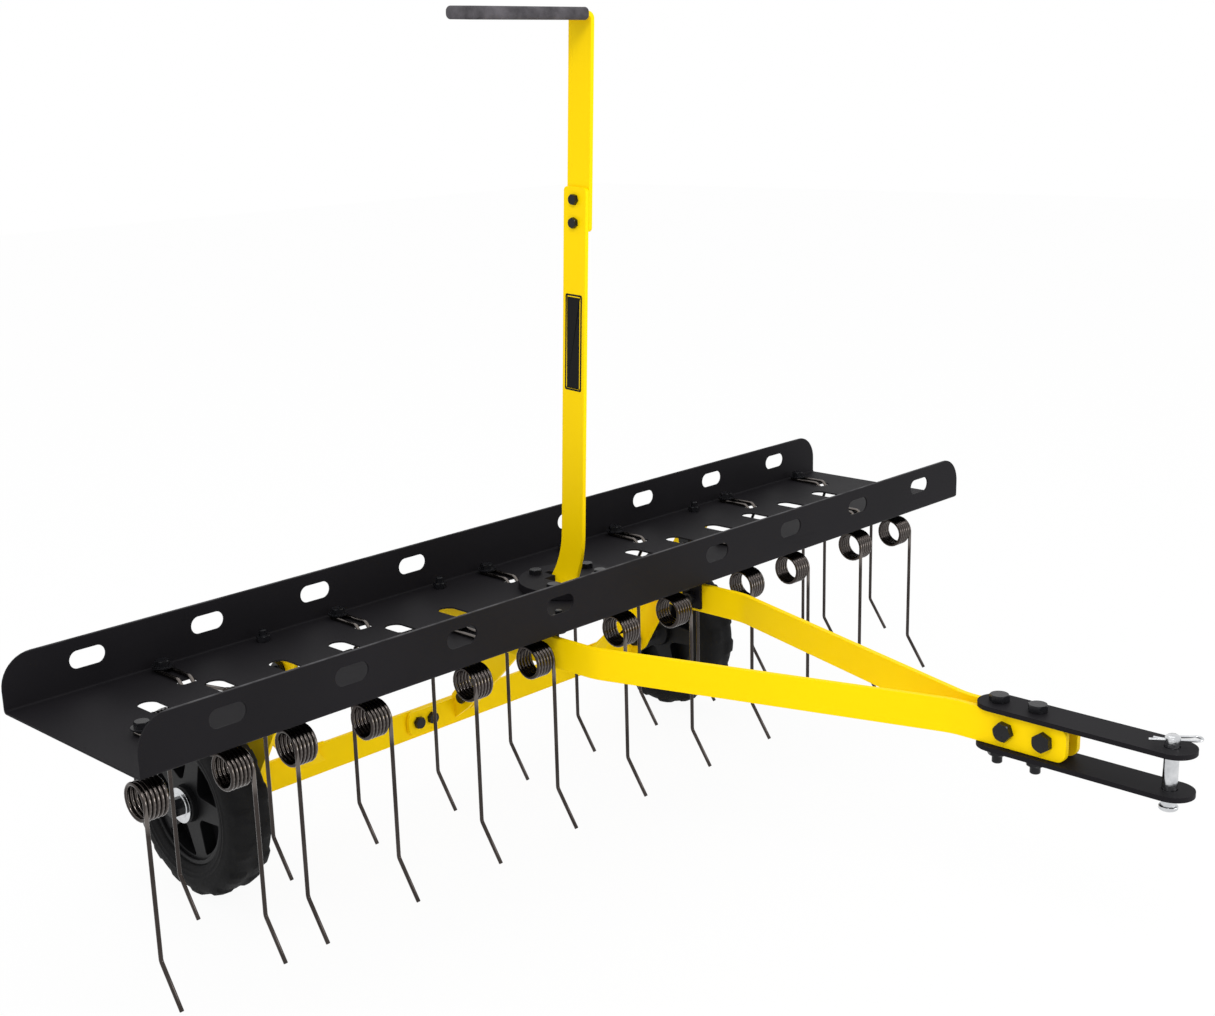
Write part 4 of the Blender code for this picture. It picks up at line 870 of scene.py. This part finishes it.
def makeLiftFrame():
    g = swing
    low, high = g["crossTop"] - g["barHeight"], g["crossTop"]
    front, back = g["crossY"], g["crossY"] + g["bar"]
    inner = g["armX"] - g["bar"] / 2
    half, arm = bmesh.new(), bmesh.new()
    for y, z in (pivot, axle):
        disc(arm, (g["armX"], y, z), g["armWidth"] / 2, g["bar"])
    block(arm, (inner, front, low), (inner + g["bar"], back, high))
    wrap(arm)
    addTo(half, arm)
    addBrace(half)
    for y in (front, back):
        addWeld(half, (inner, y, low + weld["inset"][0]), (inner, y, high - weld["inset"][1]))
    addWeld(half, *((inner, braceY(-drop) + weld["braceIn"], -drop) for drop in g["braceHeads"]))
    ends = [g["armX"] - inward + past for inward, past in zip(g["braceFoot"], weld["past"])]
    addWeld(half, *((x, front + g["braceIn"], high + weld["proud"]) for x in ends))
    mirrored = bmesh.ops.duplicate(half, geom=half.verts[:] + half.edges[:] + half.faces[:])["geom"]
    bmesh.ops.scale(half, verts=vertsOf(mirrored), vec=(-1, 1, 1))
    reach = inner + g["overlap"]
    block(half, (-reach, front, low), (reach, back, high))
    finishPiece("liftFrameWelded", half, yellowCoat, "lift", "lift_frame", edge=g["edge"])


makeLiftFrame()
print("lift frame made")


# the bracket at the lever's foot

footBracket = {"thick": 0.005, "half": 0.0145, "boltX": (-0.066, -0.045), "boltZ": -0.191,
               "boltPitch": 0.032, "flange": (-0.034, -0.005), "tab": (-0.030, -0.001), "corner": 0.0095,
               "bend": 0.0045, "seam": 0.0001, "edge": 0.0005}


def makeLeverBracket():
    g = footBracket
    thick = g["thick"]
    outer, face = -lever["thick"] / 2 - gap, swing["crossY"] - gap
    low = Vector(lever["foot"])
    high = low + (Vector(lever["knee"]) - low).normalized() * g["boltPitch"]
    whole = bmesh.new()
    for spot in (low, high):
        disc(whole, (outer - thick / 2, *spot), g["half"], thick)
    block(whole, (outer - thick, face - thick, low.y + g["tab"][0]),
          (outer, face - g["seam"], low.y + g["tab"][1]))
    wrap(whole)
    roundHeel(whole, 2, (1, face), (0, outer), g["bend"])
    left = g["boltX"][0] - g["half"]

    def drawFlange(bm):
        outline = boxLoop(bm, (left, low.y + g["flange"][0]), (outer - g["bend"], low.y + g["flange"][1]))
        roundCorners(bm, cornersAt(outline, 0, left), g["corner"], 6)

    addTo(whole, cutPlate(drawFlange, thick, frontPlane, -(face - thick / 2)))
    finishPiece("leverFootBracket", whole, yellowCoat, "lift", "lever_bracket", edge=g["edge"])
    front, behind = face - thick - gap, swing["crossY"] + swing["bar"] + gap
    makeBolts("bracketBolts", "lift", "m8", -yAxis, [(x, front, g["boltZ"]) for x in g["boltX"]],
              "bracket_bolt_1", "bracket_bolt_2", grip=behind - front)
    inner = outer - thick - gap
    makeBolts("leverFootBolts", "lift", "m8", -xAxis, [(inner, *spot) for spot in (low, high)],
              "lever_foot_bolt_1", "lever_foot_bolt_2", grip=-outer - inner)


makeLeverBracket()
print("lever bracket made")


# the angles under the tray that the swing arms hang from

hanger = {"thick": 0.004, "flange": 0.034, "front": 0.030, "back": 0.018, "lobe": 0.014, "boltOut": 0.0205,
          "boltBack": 0.007, "bend": 0.0035, "corner": 0.005, "edge": 0.0005}


def makeHanger(name, side):
    g = hanger
    thick, top = g["thick"], -gap
    web = swing["armX"] + swing["bar"] / 2 + gap
    front, back = pivot[0] - g["front"], pivot[0] + g["back"]
    whole = bmesh.new()
    block(whole, (web, front, top - thick), (web + thick, back, top))
    disc(whole, (web + thick / 2, *pivot), g["lobe"], thick)
    wrap(whole)
    roundHeel(whole, 1, (2, top), (0, web), g["bend"])

    def drawFlange(bm):
        outline = boxLoop(bm, (web + g["bend"], front), (web + g["flange"], back))
        roundCorners(bm, cornersAt(outline, 0, web + g["flange"]), g["corner"])

    addTo(whole, cutPlate(drawFlange, thick, level=top - thick / 2))
    finishPiece("pivotAngle_" + name, whole, yellowCoat, "tray", "pivot_bracket_" + name, edge=g["edge"],
                place=flipped[side])
    inner = swing["armX"] - swing["bar"] / 2 - gap
    makeBolts("pivotBolt_" + name, "tray", "m10", -xAxis, [(inner, *pivot)], "pivot_bolt_" + name,
              grip=web + thick + gap - inner, place=flipped[side])


for name, side in sides:
    makeHanger(name, side)
print("pivot brackets made")


# the draw arms, and the angles that hold them to the tray

drawArm = {"thick": 0.006, "height": 0.0325, "top": -0.0065, "out": 0.117995, "in": 0.010, "back": 0.112,
           "bendOut": -0.158, "bendIn": -0.505, "front": -0.618, "nose": 0.009, "bendRadius": 0.070,
           "edge": 0.0007}
armAngle = {"y": (-0.088, 0.100), "leg": 0.030, "thick": 0.004, "width": 0.026, "foot": 0.012,
            "boltX": 0.098, "bend": 0.005, "sideTail": 0.001, "floorTail": 0.006, "edge": 0.0004}
armMiddle = drawArm["top"] - drawArm["height"] / 2


def makeDrawArm(name, side):
    g = drawArm
    inward, ahead = g["out"] - g["in"], g["bendOut"] - g["bendIn"]
    slant = math.atan2(inward, ahead)
    tangent = g["bendRadius"] * math.tan(slant / 2)
    route = [g["back"] - g["bendOut"] - tangent, (g["bendRadius"], -slant),
             math.hypot(inward, ahead) - 2 * tangent, (g["bendRadius"], slant),
             g["bendIn"] - g["front"] - tangent]
    bm, ends = sweepBar(g["thick"], g["height"], 4, (g["out"], g["back"], armMiddle), xAxis, zAxis,
                        -yAxis, zAxis, route, 2)
    roundEdges(bm, edgesAlong(ends[1], 0), g["nose"], 7)
    finishPiece("drawArmBar_" + name, bm, yellowCoat, "tray", "draw_arm_" + name, edge=g["edge"],
                place=flipped[side])


def makeArmAngles(name, side):
    g = armAngle
    face = drawArm["out"] - drawArm["thick"] / 2 - gap
    web, leg = face - g["thick"], face - g["leg"]
    top, low = -gap, armMiddle - g["foot"]
    under = top - g["thick"]

    def drawAngle(bm):
        corners = drawPath(bm, [(face, top), (face, low), (web, low), (web, under), (leg, under), (leg, top)])
        roundCorners(bm, corners[:1], g["bend"])
        roundCorners(bm, corners[3:4], g["bend"] - g["thick"], 3)

    for y, end in zip(g["y"], ("front", "rear")):
        ending = "%s_%s" % (name, end)
        finishPiece("armAngle_" + ending, cutPlate(drawAngle, g["width"], frontPlane, -y), blackCoat, "tray",
                    "arm_angle_" + ending, edge=g["edge"], place=flipped[side])
    head = drawArm["out"] + drawArm["thick"] / 2
    makeBolts("armBolts_" + name, "tray", "m8", xAxis, [(head, y, armMiddle) for y in g["y"]],
              grip=head - web, tail=g["sideTail"], place=flipped[side])


def makeHangerBolts():  # those that hold both kinds of angle to the tray's floor, with their nuts on top
    under = -hanger["thick"] - gap * 2
    x, y = swing["armX"] + hanger["boltOut"], pivot[0] + hanger["boltBack"]
    spots = [(side * armAngle["boltX"], y, under) for side in (-1, 1) for y in armAngle["y"]]
    spots += [(side * x, y, under) for side in (-1, 1)]
    makeBolts("hangerBolts", "tray", "m8", -zAxis, spots, grip=tray["sheet"] - under,
              tail=armAngle["floorTail"])


for name, side in sides:
    makeDrawArm(name, side)
    makeArmAngles(name, side)
makeHangerBolts()
print("draw arms made")


# the hitch: two plates, four bolts, the pin and its clip

hitch = {"back": -0.526, "tip": -0.727, "width": 0.038, "thick": 0.0045, "bolts": (-0.545, -0.583),
         "sideBolts": (-0.559, -0.597), "tail": 0.008, "edge": 0.0006}
pin = {"radius": 0.00635, "play": 0.0005, "below": 0.014, "above": 0.010, "head": (0.0080, 0.0035),
       "headEdge": 0.001, "chamfer": 0.002, "edge": 0.0003}
clip = {"wire": 0.0025, "height": 0.0055, "turn": math.radians(-56), "start": -0.019, "far": 0.0195,
        "bow": (0.0045, math.radians(187)), "short": 0.0040, "hug": math.radians(46), "rise": 0.0015,
        "flare": (0.0045, math.radians(-78)), "tip": 0.0070, "smooth": 50}
plateUpper = drawArm["top"] + gap
plateLower = drawArm["top"] - drawArm["height"] - gap


def drawHitchPlate(bm):
    back, tip = hitch["back"], hitch["tip"]
    slotLoop(bm, (0, (back + tip) / 2), back - tip, hitch["width"], 1, 64)
    roundLoop(bm, (0, pinY), pin["radius"] + pin["play"], 40)


def makeHitch():
    g = hitch
    for place, level in (("top", plateUpper + g["thick"] / 2), ("bottom", plateLower - g["thick"] / 2)):
        finishPiece("hitchPlate_" + place, cutPlate(drawHitchPlate, g["thick"], level=level), blackCoat,
                    "tray", "hitch_plate_" + place, edge=g["edge"], segments=3)
    head, foot = plateUpper + g["thick"] + gap, plateLower - g["thick"] - gap
    makeBolts("hitchBolts", "tray", "hitch", zAxis, [(0, y, head) for y in g["bolts"]],
              "hitch_bolt_1", "hitch_bolt_2", grip=head - foot, tail=g["tail"])
    outer = drawArm["in"] + drawArm["thick"] / 2 + gap
    makeBolts("hitchSideBolts", "tray", "side", -xAxis, [(-outer, y, armMiddle) for y in g["sideBolts"]],
              "side_bolt_1", "side_bolt_2", grip=outer * 2)


def makePin():
    edge, chamfer, shank = pin["headEdge"], pin["chamfer"], pin["radius"]
    radius, height = pin["head"]
    foot = plateLower - hitch["thick"] - pin["below"]
    neck = foot + height + edge / 2
    crown = plateUpper + hitch["thick"] + pin["above"]
    profile = [(foot, 0), (foot, radius - edge), (foot + edge, radius), (foot + height, radius),
               (neck, radius - edge / 2), (neck, shank), (crown - chamfer, shank),
               (crown - chamfer / 3, shank - chamfer / 2), (crown, shank - chamfer), (crown, 0)]
    upright = at(0, pinY, 0) @ Matrix.Rotation(-quarter, 4, "Y")
    finishPiece("hitchPinTurned", lathe(profile, 48, False), zincPlate, "pin", "hitch_pin", edge=pin["edge"],
                place=upright)


def makeClip():  # a spring clip: one leg through the pin, the other sprung over its side
    g = clip
    route = [g["far"] - g["start"], g["bow"], g["far"] - g["short"],
             (pin["radius"] + g["wire"] / 2 + gap, g["hug"]), g["rise"], g["flare"], g["tip"]]
    bm = sweepBar(g["wire"], g["wire"], 12, (g["start"], 0, 0), yAxis, zAxis, xAxis, zAxis, route, 9)[0]
    place = at(0, pinY, plateUpper + hitch["thick"] + g["height"]) @ Matrix.Rotation(g["turn"], 4, "Z")
    finishPiece("hitchClipWire", bm, zincPlate, "pin", "hitch_clip", smooth=g["smooth"], place=place)


makeHitch()
makePin()
makeClip()
print("hitch made")


# the wheels

wheel = {"x": 0.3736, "radius": 0.104, "rim": 0.067, "rimWidth": 0.040, "wall": 0.005, "rimEdge": 0.001,
         "web": 0.032, "hub": 0.021, "hubWidth": 0.047, "hubNose": ((0.0015, 0.001), (0.0, 0.0025)),
         "spokes": 5, "windowEdge": 0.003, "windowTip": math.radians(6.9), "windowShare": 0.72,
         "flare": 0.006, "windowCorner": 0.003, "backWeb": 0.003, "bore": 0.0064, "edge": 0.0008,
         "lugs": 16, "stepsPerLug": 6, "lugDepth": 0.0021, "lugSlope": 0.0028, "lugSpan": (0.003, 0.021),
         "lugFrom": 0.93, "smooth": 55}
axleFit = {"washer": (0.0195, 0.002), "step": (0.0135, 0.0007), "stepSlope": 0.0004, "spacer": 0.0105,
           "washerEdge": 0.0003, "spacerEdge": 0.0004}
tyreSide = [(0.0035, 0.1020), (0.0115, 0.1017), (0.0185, 0.0998), (0.0228, 0.0955), (0.0251, 0.0905),
            (0.0259, 0.0855), (0.0257, 0.0812), (0.0260, 0.0806), (0.0260, 0.0798), (0.0254, 0.0792),
            (0.0249, 0.0760), (0.0252, 0.0754), (0.0251, 0.0745), (0.0244, 0.0740), (0.0236, 0.0712),
            (0.0224, 0.0680), (0.0212, 0.0673)]


def treadBlocks(bm):  # every other stretch of the tread, staggered from side to side
    groups = {}
    inside, outside = wheel["lugSpan"]
    for face in bm.faces:
        centre = face.calc_center_median()
        if inside < abs(centre.x) < outside and centre.yz.length > wheel["radius"] * wheel["lugFrom"]:
            turn = math.floor(math.atan2(centre.z, centre.y) / math.pi * wheel["lugs"])
            if turn % 2 == (centre.x < 0):
                groups.setdefault((turn, centre.x > 0), []).append(face)
    return list(groups.values())


def makeTyre(name, side):
    bm = lathe(bothWays(tyreSide), wheel["lugs"] * wheel["stepsPerLug"])
    bmesh.ops.recalc_face_normals(bm, faces=bm.faces)
    for faces in treadBlocks(bm):
        bmesh.ops.inset_region(bm, faces=faces, thickness=wheel["lugSlope"], depth=wheel["lugDepth"],
                               use_even_offset=True)
    finishPiece("tyreMoulded_" + name, bm, tyreRubber, name, "tyre_" + name, smooth=wheel["smooth"],
                place=at(side * wheel["x"], *axle))


def drawWeb(bm):
    g = wheel
    roundLoop(bm, (0, 0), g["rim"] - g["wall"] / 2, 72)
    roundLoop(bm, (0, 0), g["hub"] - g["windowEdge"], 36)
    spread = math.pi / g["spokes"] * g["windowShare"]
    reach = g["rim"] - g["wall"] - g["windowEdge"]
    for k in range(g["spokes"]):
        middle = 2 * math.pi * k / g["spokes"]
        outer = arcPoints(reach, middle - spread, middle + spread, 10)
        inner = arcPoints(g["hub"] + g["flare"], middle + g["windowTip"], middle - g["windowTip"], 1)
        corners = drawPath(bm, outer + inner)
        roundCorners(bm, corners[:1] + corners[10:], g["windowCorner"], 4)


def makeRim(name, side):
    g = wheel
    half, inside, edge = g["rimWidth"] / 2, g["rim"] - g["wall"], g["rimEdge"]
    whole = lathe(bothWays([(half, g["rim"]), (half, inside + edge), (half - edge, inside)]), 96)
    end = g["hubWidth"] / 2
    nose = [(end - back, g["hub"] - drop) for back, drop in g["hubNose"]]
    addTo(whole, lathe(bothWays([(g["web"] / 2, g["hub"]), *nose, (end, g["bore"])]), 48))
    addTo(whole, cutPlate(drawWeb, g["web"], sidePlane))
    disc(whole, (0, 0, 0), inside + edge, g["backWeb"], segments=72)  # the windows are blind pockets
    finishPiece("rimMoulded_" + name, whole, rimPlastic, name, "rim_" + name, edge=g["edge"],
                place=at(side * g["x"], *axle))


def makeAxle(name, side):
    g = axleFit
    bore, half = wheel["bore"], wheel["hubWidth"] / 2 + gap
    radius, thick = g["washer"]
    step, proud = g["step"]
    outside, inside = wheel["x"] + half, wheel["x"] - half
    face, crown = outside + thick, outside + thick + proud
    place = flipped[side] @ Matrix.Translation((0, *axle))
    washer = lathe([(outside, bore), (outside, radius), (face, radius), (face, step),
                    (crown, step - g["stepSlope"]), (crown, bore)], 64)
    finishPiece("axleWasher_" + name, washer, zincPlate, "lift", "axle_washer_" + name,
                edge=g["washerEdge"], place=place)
    armOut, armIn = (swing["armX"] + way * (swing["bar"] / 2 + gap) for way in (1, -1))
    spacer = lathe([(armOut, bore), (armOut, g["spacer"]), (inside, g["spacer"]), (inside, bore)], 40)
    finishPiece("axleSpacer_" + name, spacer, zincPlate, "lift", "axle_spacer_" + name,
                edge=g["spacerEdge"], place=place)
    head = face + gap
    makeBolts("axleBolt_" + name, "lift", "axle", xAxis, [(head, 0, 0)], "axle_bolt_" + name,
              grip=head - armIn, place=place)


for name, side in sides:
    makeTyre(name, side)
    makeRim(name, side)
    makeAxle(name, side)
print("wheels made")


# floor, light and camera

studio = {"floor": 9.0, "floorDrop": 0.0005, "floorLook": {"rough": (0.9,), "cloud": 1.5},
          "floorColours": ((0.91, 0.91, 0.91), (0.94, 0.94, 0.94)), "glow": 0.94, "soft": 0.88,
          "cameraAt": (-1.25205, -1.27074, 0.54284), "cameraTurn": (1.3089, 0.0303, -0.7893),
          "lens": 49.61, "sensor": 36.0, "shift": (0.03176, 0.01772)}
lamps = {
    "keyLamp": {"size": (1.1, 0.8), "power": 34.0, "spot": (-2.2, -1.6, 2.6), "target": (0, 0, 0.3)},
    "overheadLamp": {"size": (2.6, 2.0), "power": 10.0, "spot": (0.4, 0.3, 2.9), "target": (0, 0.1, 0.3)},
    "fillLamp": {"size": (1.8, 0.8), "power": 22.0, "spot": (0.9, -2.9, 0.6), "target": (0, 0, 0.2)}}


def whiteToTheEye(tree, shaded, white, share, output):
    # seen directly, in a gloss or through glass it is white, but it lights as it is
    path = addNode(tree, "LightPath", {})
    mirrored = mathNode(tree, "MAXIMUM", path["Is Glossy Ray"], path["Is Transmission Ray"])
    seen = mathNode(tree, "MAXIMUM", path["Is Camera Ray"], mirrored)
    mix = tree.nodes.new("ShaderNodeMixShader")
    for socket, source in zip(mix.inputs, (mathNode(tree, "MULTIPLY", seen, share), shaded, white)):
        tree.links.new(source, socket)
    tree.links.new(mix.outputs["Shader"], tree.nodes[output].inputs["Surface"])


def makeFloor():
    made, tree, sockets, where = startMaterial("paleFloor", studio["floorLook"])
    cloud = noiseNode(tree, where, studio["floorLook"]["cloud"], 2.0)
    feed(tree, sockets["Base Color"], mixColour(tree, cloud, *studio["floorColours"]))
    whiteToTheEye(tree, tree.nodes["Principled BSDF"].outputs["BSDF"],
                  addNode(tree, "Emission", {"Strength": 1.0})["Emission"], studio["glow"], "Material Output")
    bm = bmesh.new()
    bmesh.ops.create_grid(bm, x_segments=1, y_segments=1, size=studio["floor"])
    floor = putIn("studioFloor", toMesh(bm, "studioFloor"))
    floor.data.materials.append(made)
    floor.location.z = -studio["floorDrop"]


def makeWorld():
    world = bpy.data.worlds.new("studioLight")
    world.use_nodes = True
    tree = world.node_tree
    soft = tree.nodes["Background"]
    soft.inputs["Color"].default_value = (1.0, 1.0, 1.0, 1)
    soft.inputs["Strength"].default_value = studio["soft"]
    white = addNode(tree, "Background", {"Color": (1.0, 1.0, 1.0, 1), "Strength": 1.0})["Background"]
    whiteToTheEye(tree, soft.outputs["Background"], white, 1.0, "World Output")
    bpy.context.scene.world = world


def addLamp(name, size, power, spot, target):
    data = bpy.data.lights.new(name, "AREA")
    data.shape = "RECTANGLE"
    data.size, data.size_y = size
    data.energy = power
    lamp = putIn(name, data)
    lamp.location = spot
    lamp.rotation_euler = (Vector(target) - lamp.location).to_track_quat("-Z", "Y").to_euler()


def makeCamera():
    data = bpy.data.cameras.new("productCamera")
    data.lens = studio["lens"]
    data.sensor_width = studio["sensor"]
    data.shift_x, data.shift_y = studio["shift"]
    camera = putIn("productCamera", data)
    camera.location = trayPlace + Vector(studio["cameraAt"])
    camera.rotation_euler = studio["cameraTurn"]
    bpy.context.scene.camera = camera


makeFloor()
makeWorld()
for name, lamp in lamps.items():
    addLamp(name, **lamp)
makeCamera()
bpy.context.scene.view_settings.view_transform = "Standard"

print("scene ready")
